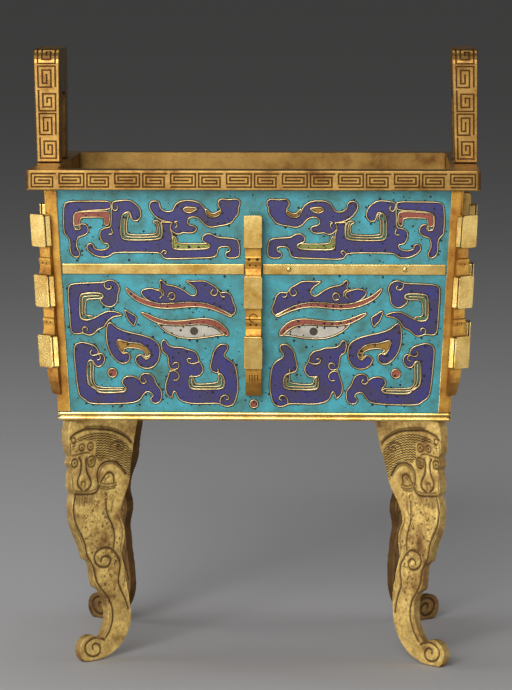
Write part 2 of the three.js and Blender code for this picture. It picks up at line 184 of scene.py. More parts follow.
class CENSER_sizes(bpy.types.PropertyGroup):
    """Fine sizes that the enamel work and the engraving are drawn with"""
    wire: size_field("Wire width", "Width of the gilt wires between the enamel colours", 0.44)
    enamel: size_field("Enamel thickness", "How far the enamel ground stands on the wall", 0.08)
    groove: size_field("Groove width", "Width of an engraved line of the key fret", 0.56)
    groove_depth: size_field("Groove depth", "Depth of an engraved line of the key fret", 0.42)
    edge: size_field("Edge rounding", "How far the worn edges of the castings are rounded", 0.3)
    carving: size_field("Carving depth", "Depth of the lines on the legs", 0.42)


class CENSER_colours(bpy.types.PropertyGroup):
    """Colours of the enamels and of the gilding"""
    turquoise: colour_field("Turquoise", "Ground enamel", "#50B8C6")
    lapis: colour_field("Lapis blue", "Enamel of the dragons and scrolls", "#423E86")
    red: colour_field("Brick red", "Enamel of brows, lids and dots", "#B65D48")
    green: colour_field("Grey green", "Enamel inside the scrolls", "#5C8A68")
    leaf: colour_field("Yellow green", "Enamel under the dragon's body", "#A0A848")
    ochre: colour_field("Ochre", "Enamel of the tongues", "#B8862E")
    eyewhite: colour_field("White", "Enamel of the eyes", "#DED6C4")
    pupil: colour_field("Grey", "Enamel of the pupils", "#524739")
    bright: colour_field("Bright gilding", "Where hands have kept the gilding bright", "#F3D383")
    deep: colour_field("Deep gilding", "Gilding between the worn places", "#C6953F")
    # The patina colour is laid both as real patina and as painted shade in corners and in fine lines.
    patina: colour_field("Patina", "Brown copper in hollows and grooves", "#50301A")
    floor: colour_field("Floor", "Studio floor", "#CFCECF")


def add_node(tree, kind, settings=None, links=None):
    """Adds a shader node, sets its properties and sockets, and links sockets to other nodes.
    A link is a node, for its first output, or a node with the name or number of an output."""
    node = tree.nodes.new("ShaderNode" + kind)
    for key, value in (settings or {}).items():
        if isinstance(key, str) and hasattr(node, key):
            setattr(node, key, value)
        else:
            node.inputs[key].default_value = value
    for key, source in (links or {}).items():
        origin, output = source if isinstance(source, tuple) else (source, 0)
        tree.links.new(origin.outputs[output], node.inputs[key])
    return node


def new_material(name):
    material = bpy.data.materials.new(name)
    material.use_nodes = True
    material.node_tree.nodes.clear()
    return material, material.node_tree


def close_material(tree, shader):
    add_node(tree, "OutputMaterial", links={"Surface": shader})


def millimetre_space(tree):
    """Object coordinates in millimetres, so that a noise scale of 1 is one grain a millimetre."""
    coordinates = add_node(tree, "TexCoord")
    return add_node(tree, "Mapping", {"Scale": (1000, 1000, 1000)},
                    {"Vector": (coordinates, "Object")})


def fine_hair(tree):
    """Wavy rows of chased hair that curve over the head, where the leg's pattern has hair."""
    drawn = add_node(tree, "Attribute", {"attribute_name": "drawn"})
    split = add_node(tree, "SeparateXYZ", {}, {0: (drawn, "Vector")})
    across = add_node(tree, "Math", {"operation": "SUBTRACT", 1: 14.5}, {0: (split, "X")})
    squared = add_node(tree, "Math", {"operation": "MULTIPLY"}, {0: across, 1: across})
    row = add_node(tree, "Math", {"operation": "MULTIPLY_ADD", 1: 0.02}, {0: squared, 2: (split, "Y")})
    turns = add_node(tree, "Math", {"operation": "MULTIPLY", 1: 3.9}, {0: split})
    wave = add_node(tree, "Math", {"operation": "SINE"}, {0: turns})
    waved = add_node(tree, "Math", {"operation": "MULTIPLY_ADD", 1: 0.16}, {0: wave, 2: row})
    rows = add_node(tree, "Math", {"operation": "MULTIPLY", 1: 1 / 0.85}, {0: waved})
    stroke_place = add_node(tree, "Math", {"operation": "PINGPONG", 1: 0.5}, {0: rows})
    hair = add_node(tree, "MapRange", {1: 0.34, 2: 0.2}, {0: stroke_place})
    return add_node(tree, "Math", {"operation": "MULTIPLY"}, {0: hair, 1: (split, "Z")})


def gilding(name, bright, deep, patina, wear=0.5, roughness=0.3, pits=0.3, metal=1.0,
            fleck_from=0.5, has_hair=False):
    """Mercury gilding on cast copper alloy: a warm, slightly uneven shine, brightest where it stands out
    because painted shade and brown copper patina fill every hollow; fine scratches and small casting pits."""
    material, tree = new_material(name)
    place = millimetre_space(tree)
    patches = add_node(tree, "TexNoise", {"Scale": 0.13, "Detail": 5, "Roughness": 0.62},
                       {"Vector": place})
    mottling = add_node(tree, "TexNoise", {"Scale": 0.75, "Detail": 6, "Roughness": 0.7},
                        {"Vector": place})
    hollow = add_node(tree, "Attribute", {"attribute_name": "hollow"})
    # Ambient occlusion finds the corners; the copper colour laid there is painted shade as well as patina.
    crevice = add_node(tree, "AmbientOcclusion", {"samples": 6, "Distance": 0.0016})
    patch_mask = add_node(tree, "MapRange", {1: 0.4, 2: 0.72}, {0: patches})
    shine = add_node(tree, "Mix", {"data_type": "RGBA", 6: bright, 7: deep}, {0: patch_mask})
    fleck_mask = add_node(tree, "MapRange", {1: fleck_from, 2: fleck_from + 0.28, 4: 0.75},
                          {0: mottling})
    flecked = add_node(tree, "Mix", {"data_type": "RGBA", 7: deep}, {0: fleck_mask, 6: (shine, 2)})
    dark_corner = add_node(tree, "MapRange", {1: 0.86, 2: 0.3, 4: 0.95}, {0: (crevice, "AO")})
    worn = add_node(tree, "MapRange", {1: 0.56, 2: 0.8, 4: wear}, {0: patches})
    corner_or_worn = add_node(tree, "Math", {"operation": "MAXIMUM"}, {0: dark_corner, 1: worn})
    cover = add_node(tree, "Math", {"operation": "MAXIMUM"},
                     {0: corner_or_worn, 1: (hollow, "Fac")})
    hair = fine_hair(tree) if has_hair else None
    if has_hair:
        cover = add_node(tree, "Math", {"operation": "MULTIPLY_ADD", 1: 0.8, "use_clamp": True},
                         {0: hair, 2: cover})
    colour = add_node(tree, "Mix", {"data_type": "RGBA", 7: patina}, {0: cover, 6: (flecked, 2)})
    dull = add_node(tree, "MapRange", {1: 0, 2: 1, 3: roughness, 4: roughness + 0.3}, {0: cover})
    rubbed = add_node(tree, "Math", {"operation": "MULTIPLY_ADD", 1: 0.24, 2: -0.12},
                      {0: mottling})
    roughness_here = add_node(tree, "Math", {"operation": "ADD"}, {0: dull, 1: rubbed})
    pit_cells = add_node(tree, "TexVoronoi", {"Scale": 0.9}, {"Vector": place})
    pit = add_node(tree, "MapRange", {1: 0.06, 2: 0.16, 3: 0, 4: 1}, {0: pit_cells})
    pit_depth = add_node(tree, "Math", {"operation": "MULTIPLY", 1: pits}, {0: pit})
    height = add_node(tree, "Math", {"operation": "MULTIPLY_ADD", 1: 0.5}, {0: mottling, 2: pit_depth})
    if has_hair:
        height = add_node(tree, "Math", {"operation": "MULTIPLY_ADD", 1: -1.2}, {0: hair, 2: height})
    bump = add_node(tree, "Bump", {"Strength": 0.35, "Distance": 0.00012}, {"Height": height})
    shader = add_node(tree, "BsdfPrincipled", {"Metallic": metal},
                      {"Base Color": (colour, 2), "Roughness": roughness_here, "Normal": bump})
    close_material(tree, shader)
    return material


def enamel(name, colour, dark, flecks):
    """Opaque glass enamel, ground flat and polished: an even wet gloss over clouded colour, with
    darker grains in it and the black pinholes that bubbles leave."""
    material, tree = new_material(name)
    place = millimetre_space(tree)
    clouds = add_node(tree, "TexNoise", {"Scale": 0.17, "Detail": 5, "Roughness": 0.68},
                      {"Vector": place})
    grains = add_node(tree, "TexNoise", {"Scale": 1.9, "Detail": 3, "Roughness": 0.65},
                      {"Vector": place})
    cloud_mask = add_node(tree, "MapRange", {1: 0.35, 2: 0.7}, {0: clouds})
    clouded = add_node(tree, "Mix", {"data_type": "RGBA", 6: colour, 7: dark}, {0: cloud_mask})
    grain_mask = add_node(tree, "MapRange", {1: 0.54, 2: 0.72, 4: flecks}, {0: grains})
    grain_colour = [channel * 0.42 for channel in colour[:3]] + [1]
    grained = add_node(tree, "Mix", {"data_type": "RGBA", 7: grain_colour},
                       {0: grain_mask, 6: (clouded, 2)})
    pinholes = add_node(tree, "TexVoronoi", {"Scale": 0.42}, {"Vector": place})
    near_pin = add_node(tree, "MapRange", {1: 0.085, 2: 0.12, 3: 1, 4: 0}, {0: pinholes})
    chosen = add_node(tree, "SeparateColor", links={0: (pinholes, "Color")})
    kept = add_node(tree, "Math", {"operation": "GREATER_THAN", 1: 0.6}, {0: chosen})
    pin = add_node(tree, "Math", {"operation": "MULTIPLY"}, {0: near_pin, 1: kept})
    finished = add_node(tree, "Mix", {"data_type": "RGBA", 7: linear("#0E1418")},
                        {0: pin, 6: (grained, 2)})
    uneven = add_node(tree, "MapRange", {1: 0.3, 2: 0.7, 3: 0.2, 4: 0.36}, {0: clouds})
    sunk = add_node(tree, "Math", {"operation": "MULTIPLY_ADD", 1: -1.0}, {0: pin, 2: grains})
    bump = add_node(tree, "Bump", {"Strength": 0.16, "Distance": 0.00015}, {"Height": sunk})
    shader = add_node(tree, "BsdfPrincipled", {"IOR": 1.5},
                      {"Base Color": (finished, 2), "Roughness": uneven, "Normal": bump})
    close_material(tree, shader)
    return material


def matt(name, colour, roughness):
    """Painted shadow beside the wires, and the dark bottom of a pinhole."""
    material, tree = new_material(name)
    shader = add_node(tree, "BsdfPrincipled", {"Base Color": linear(colour), "Roughness": roughness})
    close_material(tree, shader)
    return material


def studio_floor(colour):
    """Matt painted board: an even pale grey with the faintest cloudiness."""
    material, tree = new_material("painted_studio_floor")
    coordinates = add_node(tree, "TexCoord")
    clouds = add_node(tree, "TexNoise", {"Scale": 3, "Detail": 3}, {"Vector": (coordinates, "Object")})
    shade = [channel * 0.97 for channel in colour[:3]] + [1]
    tone = add_node(tree, "Mix", {"data_type": "RGBA", 6: colour, 7: shade}, {0: clouds})
    shader = add_node(tree, "BsdfPrincipled", {"Roughness": 0.75}, {"Base Color": (tone, 2)})
    close_material(tree, shader)
    return material


FINISHES = {}


def finish(name):
    """Material of this name, made the first time that a piece asks for it."""
    if name not in FINISHES:
        colours = bpy.context.scene.censer_colours
        bright, deep, patina = list(colours.bright), list(colours.deep), list(colours.patina)
        if name == "burnished_gilding":
            FINISHES[name] = gilding(name, bright, deep, patina, wear=0.15, roughness=0.22)
        elif name == "engraved_gilding":
            FINISHES[name] = gilding(name, linear("#B58E4E"), linear("#876030"), patina, wear=0.5,
                                     roughness=0.34)
        elif name == "chased_gilding":
            # Chasing leaves the gilding so fine-grained that it scatters light like a matt coat
            FINISHES[name] = gilding(name, linear("#FFDC80"), linear("#9A6B2C"), patina, wear=0.7,
                                     roughness=0.42, metal=0.42, fleck_from=0.42, has_hair=True)
        # A darker copy of the chased gilding for the back legs: painted shade.
        elif name == "dark_chased_gilding":
            FINISHES[name] = gilding(name, linear("#94723F"), linear("#5E4226"), patina, wear=0.9,
                                     roughness=0.45, metal=0.8, has_hair=True)
        elif name == "tarnished_gilding":
            FINISHES[name] = gilding(name, linear("#DCA94E"), linear("#A4652E"), patina, wear=0.45,
                                     roughness=0.4)
        elif name == "bowl_gilding":
            FINISHES[name] = gilding(name, linear("#6B4F2A"), linear("#55331B"), patina, wear=0.6,
                                     roughness=0.3)
        elif name == "gilt_wire":
            FINISHES[name] = gilding(name, linear("#F2DCA8"), linear("#CBA566"), patina, wear=0.4,
                                     roughness=0.34)
        # A dark strip beside every wire: painted shadow.
        elif name == "darkened_copper":
            FINISHES[name] = matt(name, "#3E2A1E", 0.55)
        elif name == "pinhole_black":
            FINISHES[name] = matt(name, "#0B0E12", 0.4)
        elif name == "turquoise":
            FINISHES[name] = enamel("turquoise_enamel", list(colours.turquoise),
                                    linear("#467A70"), 0.7)
        elif name == "lapis":
            FINISHES[name] = enamel("lapis_enamel", list(colours.lapis), linear("#453B50"), 0.5)
        else:
            colour = list(getattr(colours, name))
            dark = [channel * 0.6 for channel in colour[:3]] + [1]
            FINISHES[name] = enamel(name + "_enamel", colour, dark, 0.3)
    return FINISHES[name]


def settle(name, mesh, materials, slot, nodes=()):
    """Makes a finished mesh a piece of the object: placed, ridden, and standing for its nodes."""
    piece = bpy.data.objects.new(name, mesh)
    bpy.context.scene.collection.objects.link(piece)
    for material in materials:
        mesh.materials.append(finish(material))
    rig.ride(piece, "root")
    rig.slot(piece, slot)
    if nodes:
        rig.replaces(piece, *nodes)
    return piece


def prism(bm, outline, low, high):
    """Closed block over a flat outline, from low to high along Z, added to the bmesh."""
    corners = [bm.verts.new((x, y, low)) for x, y in outline]
    edges = [bm.edges.new((a, b)) for a, b in zip(corners, corners[1:] + corners[:1])]
    face = bmesh.ops.edgeloop_fill(bm, edges=edges)["faces"]
    grown = bmesh.ops.extrude_face_region(bm, geom=face)["geom"]
    top = [item for item in grown if isinstance(item, bmesh.types.BMVert)]
    bmesh.ops.translate(bm, verts=top, vec=(0, 0, high - low))
    return corners + top


def to_mesh(bm, name, matrix=None):
    """Mesh in metres from a bmesh in millimetres, faces turned outwards."""
    bmesh.ops.recalc_face_normals(bm, faces=bm.faces)
    if matrix is not None:
        bm.transform(matrix)
        if matrix.determinant() < 0:
            bmesh.ops.reverse_faces(bm, faces=bm.faces)
    bm.transform(Matrix.Scale(0.001, 4))
    mesh = bpy.data.meshes.new(name)
    bm.to_mesh(mesh)
    bm.free()
    return mesh


def applied(thing):
    """Mesh of an object with its modifiers or curve settings applied. The object goes."""
    bpy.context.view_layer.update()
    deps = bpy.context.evaluated_depsgraph_get()
    mesh = bpy.data.meshes.new_from_object(thing.evaluated_get(deps))
    bpy.data.objects.remove(thing)
    return mesh


def temporary(name, data):
    thing = bpy.data.objects.new(name, data)
    bpy.context.scene.collection.objects.link(thing)
    return thing


def combined(block, other, operation):
    """Bmesh of two closed shapes joined, or of the first less the second."""
    things = []
    for name, bm in (("block", block), ("other", other)):
        bmesh.ops.recalc_face_normals(bm, faces=bm.faces)
        mesh = bpy.data.meshes.new(name)
        bm.to_mesh(mesh)
        bm.free()
        things.append(temporary(name, mesh))
    join = things[0].modifiers.new("join", "BOOLEAN")
    join.operation = operation
    join.solver = "MANIFOLD"
    join.object = things[1]
    mesh = applied(things[0])
    bpy.data.objects.remove(things[1])
    if not mesh.polygons:
        raise RuntimeError("nothing is left of the block")
    result = bmesh.new()
    result.from_mesh(mesh)
    return result


def mark_hollow(mesh, depth_of):
    """Notes on every face how deep in a groove it lies, for the patina. Takes millimetres."""
    hollow = mesh.attributes.new("hollow", "FLOAT", "FACE")
    for polygon in mesh.polygons:
        hollow.data[polygon.index].value = depth_of(polygon.center * 1000, polygon.normal)


def softened(points, closed=True):
    """Outline with its corners drawn as curves, and its sharp tips kept nearly sharp."""
    path = [Vector(point) for point in points]
    count = len(path)
    drawn = []
    for i, corner in enumerate(path):
        if not closed and i in (0, count - 1):
            drawn.append(corner)
            continue
        before = path[i - 1] - corner
        after = path[(i + 1) % count] - corner
        turn = math.pi - before.angle(after, math.pi)
        reach = 0.35 if turn > 1.9 else 3.0
        start = corner + before.normalized() * min(reach, before.length / 2)
        end = corner + after.normalized() * min(reach, after.length / 2)
        steps = 2 if turn < 0.5 else 3
        for k in range(steps + 1):
            t = k / steps
            drawn.append(start * (1 - t) ** 2 + corner * 2 * t * (1 - t) + end * t * t)
    clean = [drawn[0]]
    for point in drawn[1:]:
        if (point - clean[-1]).length > 0.04:
            clean.append(point)
    if closed and (clean[0] - clean[-1]).length <= 0.04:
        clean.pop()
    return [tuple(point) for point in clean]


def stroke(points, width):
    """Outline of a line of constant width through the points, with mitred turns."""
    path = [Vector(point) for point in points]
    left, right = [], []
    for i, point in enumerate(path):
        arriving = (point - path[i - 1]).normalized() if i else None
        leaving = (path[i + 1] - point).normalized() if i + 1 < len(path) else None
        heading = ((arriving or leaving) + (leaving or arriving)).normalized()
        side = Vector((-heading.y, heading.x))
        spread = width / 2 / max(heading.dot(leaving or arriving), 0.5)
        left.append(tuple(point + side * spread))
        right.insert(0, tuple(point - side * spread))
    return left + right


def inside(x, z, outline):
    """Whether a point, or every point of an array, lies inside a closed outline."""
    within = np.zeros(np.shape(x), bool)
    for (ax, az), (bx, bz) in zip(outline, outline[1:] + outline[:1]):
        if az != bz:
            within ^= ((az > z) != (bz > z)) & (x < (bx - ax) * (z - az) / (bz - az) + ax)
    return within


def wall_matrix(out, foot_half):
    """Takes (along the wall, height above its foot, out from its face) to the wall's place."""
    along = UP.cross(out)
    upward = out * FLARE + UP
    normal = (out - UP * FLARE).normalized()
    matrix = Matrix.Identity(4)
    for column, axis in enumerate((along, upward, normal)):
        for row in range(3):
            matrix[row][column] = axis[row]
    foot = out * foot_half + UP * BODY_FOOT
    for row in range(3):
        matrix[row][3] = foot[row]
    return matrix


def wall_of(side):
    """Matrix of a wall, half its length at the foot, and which way it faces."""
    out = WALLS[side]
    across, deep = ("x", "y") if out.x == 0 else ("y", "x")
    return wall_matrix(out, FOOT_HALF[deep]), FOOT_HALF[across], out

# Enamel cells of the left half of a wall: colour, and outline as distances from the wall's middle
# and heights above its foot, in millimetres. The right half mirrors them. First the dragon above
# the belt, then the beast's face below it, and then the wires that curl inside the cells
DRAGON_CELLS = [
    ("lapis", [
        (-64, 72.8), (-63.3, 74.2), (-61.3, 74.6), (-54.6, 74.6), (-48.1, 74.7), (-48, 73.3),
        (-48.2, 71.8), (-54.6, 71.6), (-60.5, 70.9), (-60.8, 68.6), (-60.6, 65.8), (-59.7, 65.1),
        (-58.5, 64.9), (-59, 66.5), (-58, 67), (-56.4, 66.8), (-55.6, 65.1), (-56.1, 63.6),
        (-57.8, 62.8), (-59.2, 62.5), (-59.7, 61.1), (-59.7, 58.9), (-58.6, 57.2), (-58.8, 56.1),
        (-59.8, 55.5), (-61.2, 56.2), (-62, 57.8), (-61.9, 61.4), (-62.7, 62.8), (-63.7, 63.4),
        (-64.1, 66),
    ]),
    ("red", [
        (-60.5, 70.6), (-59.2, 70.9), (-52.5, 71.3), (-49.2, 71.3), (-48.5, 70.3), (-48.5, 67.4),
        (-49.4, 66.2), (-50.3, 66.9), (-50.1, 68.7), (-51, 69.3), (-57.7, 69.2), (-58.4, 68.8),
        (-58.7, 66.8), (-59.7, 66.1), (-60.6, 66.8),
    ]),
    ("lapis", [
        (-47.8, 73.5), (-47.2, 74.5), (-45.3, 74.8), (-41.9, 75.1), (-39.9, 74), (-38.2, 72.1),
        (-37.8, 70), (-38.7, 68.2), (-40.3, 67.9), (-41.1, 68.7), (-41.4, 70.8), (-42.7, 71.1),
        (-44.1, 70.3), (-44.7, 68.4), (-44.8, 63), (-44.1, 61.6), (-39.2, 61.4), (-31.7, 61.7),
        (-30.8, 62.8), (-30.7, 66.4), (-31.2, 67.7), (-29.1, 67.5), (-27.5, 67.5), (-28.1, 66.1),
        (-28, 65), (-27.3, 63.5), (-27.4, 59.4), (-26.8, 58.3), (-21.7, 58.3), (-15.5, 58.5),
        (-14.5, 59.5), (-15.5, 60.5), (-17, 61), (-17.3, 62), (-16.9, 63.1), (-15.7, 63.8),
        (-13.9, 63.6), (-12.6, 62.4), (-6.2, 62.2), (-4.9, 61), (-4.6, 56.8), (-5.4, 55.6),
        (-8.7, 55.4), (-9.5, 56.3), (-9.3, 57.6), (-8, 57.6), (-7.8, 58.9), (-8.8, 59.5),
        (-11.3, 59.3), (-12.1, 58.4), (-12.4, 56.3), (-13.9, 55.6), (-29.4, 55.1), (-30.7, 55.8),
        (-31.2, 57.3), (-39.2, 57.4), (-47.2, 57.3), (-48, 56.5), (-49.6, 55.6), (-52.7, 55.8),
        (-55, 57.1), (-56.3, 58.5), (-56.1, 59.9), (-54.9, 60.5), (-53.9, 59.7), (-53.8, 58.5),
        (-51.6, 57.9), (-49.5, 58.4), (-48.6, 59.5), (-49, 60.3), (-50.3, 60.3), (-51.2, 61.1),
        (-51.9, 63), (-51.8, 64.4), (-50.5, 65.6), (-48.7, 65.7), (-48, 66.3), (-47.9, 71.3),
    ]),
    ("lapis", [
        (-35.2, 72.9), (-34.7, 74.4), (-33.3, 74.9), (-31.6, 74.4), (-31.5, 72.3), (-29.8, 71.1),
        (-27.3, 71.2), (-26.7, 72.8), (-25.6, 74.3), (-22.9, 75.1), (-19, 74.7), (-17.2, 73.4),
        (-16.2, 71.9), (-15.8, 70.1), (-14.4, 69.2), (-12.6, 69.4), (-11.1, 70.4), (-11, 72.1),
        (-12.1, 73.5), (-11.8, 75.1), (-10.3, 75.6), (-8.7, 75.1), (-6.1, 75.6), (-4.6, 75),
        (-4.5, 73.7), (-5.1, 72.7), (-5.1, 70.3), (-6.7, 68.8), (-7.2, 67.5), (-9.8, 66.6),
        (-11.8, 66.4), (-14.1, 65.8), (-16, 66.4), (-17.2, 67.7), (-18.3, 69), (-20.1, 69.5),
        (-21.7, 69.2), (-22.4, 68), (-21.9, 66.6), (-19.3, 66.2), (-19.2, 65), (-20.3, 64),
        (-22.4, 63.9), (-23.7, 64.3), (-25.2, 63.4), (-26.5, 63.8), (-27.9, 65), (-28.2, 66.4),
        (-27.3, 67.5), (-29.6, 67.8), (-32.4, 68.8), (-34.2, 70.8),
    ]),
    ("ochre", [
        (-16.2, 72.1), (-15.8, 70.1), (-14.4, 69.2), (-12.6, 69.4), (-11.1, 70.4), (-10.9, 71.7),
        (-11.8, 71.3), (-13.3, 70.4), (-14.6, 70.7), (-15.4, 71.8),
    ]),
    ("ochre", [
        (-23.8, 72.1), (-22.4, 72.8), (-20.6, 72.6), (-18.9, 72.3), (-20.3, 71.1), (-21.9, 70.7),
        (-23.1, 71.2),
    ]),
    ("green", [
        (-42.7, 71), (-44.1, 70.2), (-44.7, 68.4), (-44.7, 63), (-44.1, 61.6), (-39.2, 61.5),
        (-31.7, 61.8), (-30.9, 62.8), (-30.9, 66.5), (-31.8, 68), (-33.4, 68.2), (-33.9, 67.5),
        (-32.8, 67.1), (-32.3, 66.1), (-32.6, 64), (-33.4, 63.4), (-39.2, 63.2), (-42.3, 63.4),
        (-42.8, 64.3), (-42.8, 68.2), (-42, 69.7),
    ]),
    ("leaf", [
        (-27.4, 62.8), (-26.3, 62.8), (-25.9, 60.9), (-24.9, 60.3), (-17, 60.3), (-15, 60.5),
        (-14.6, 59.5), (-15.5, 58.6), (-26.6, 58.4), (-27.4, 59.3),
    ]),
]
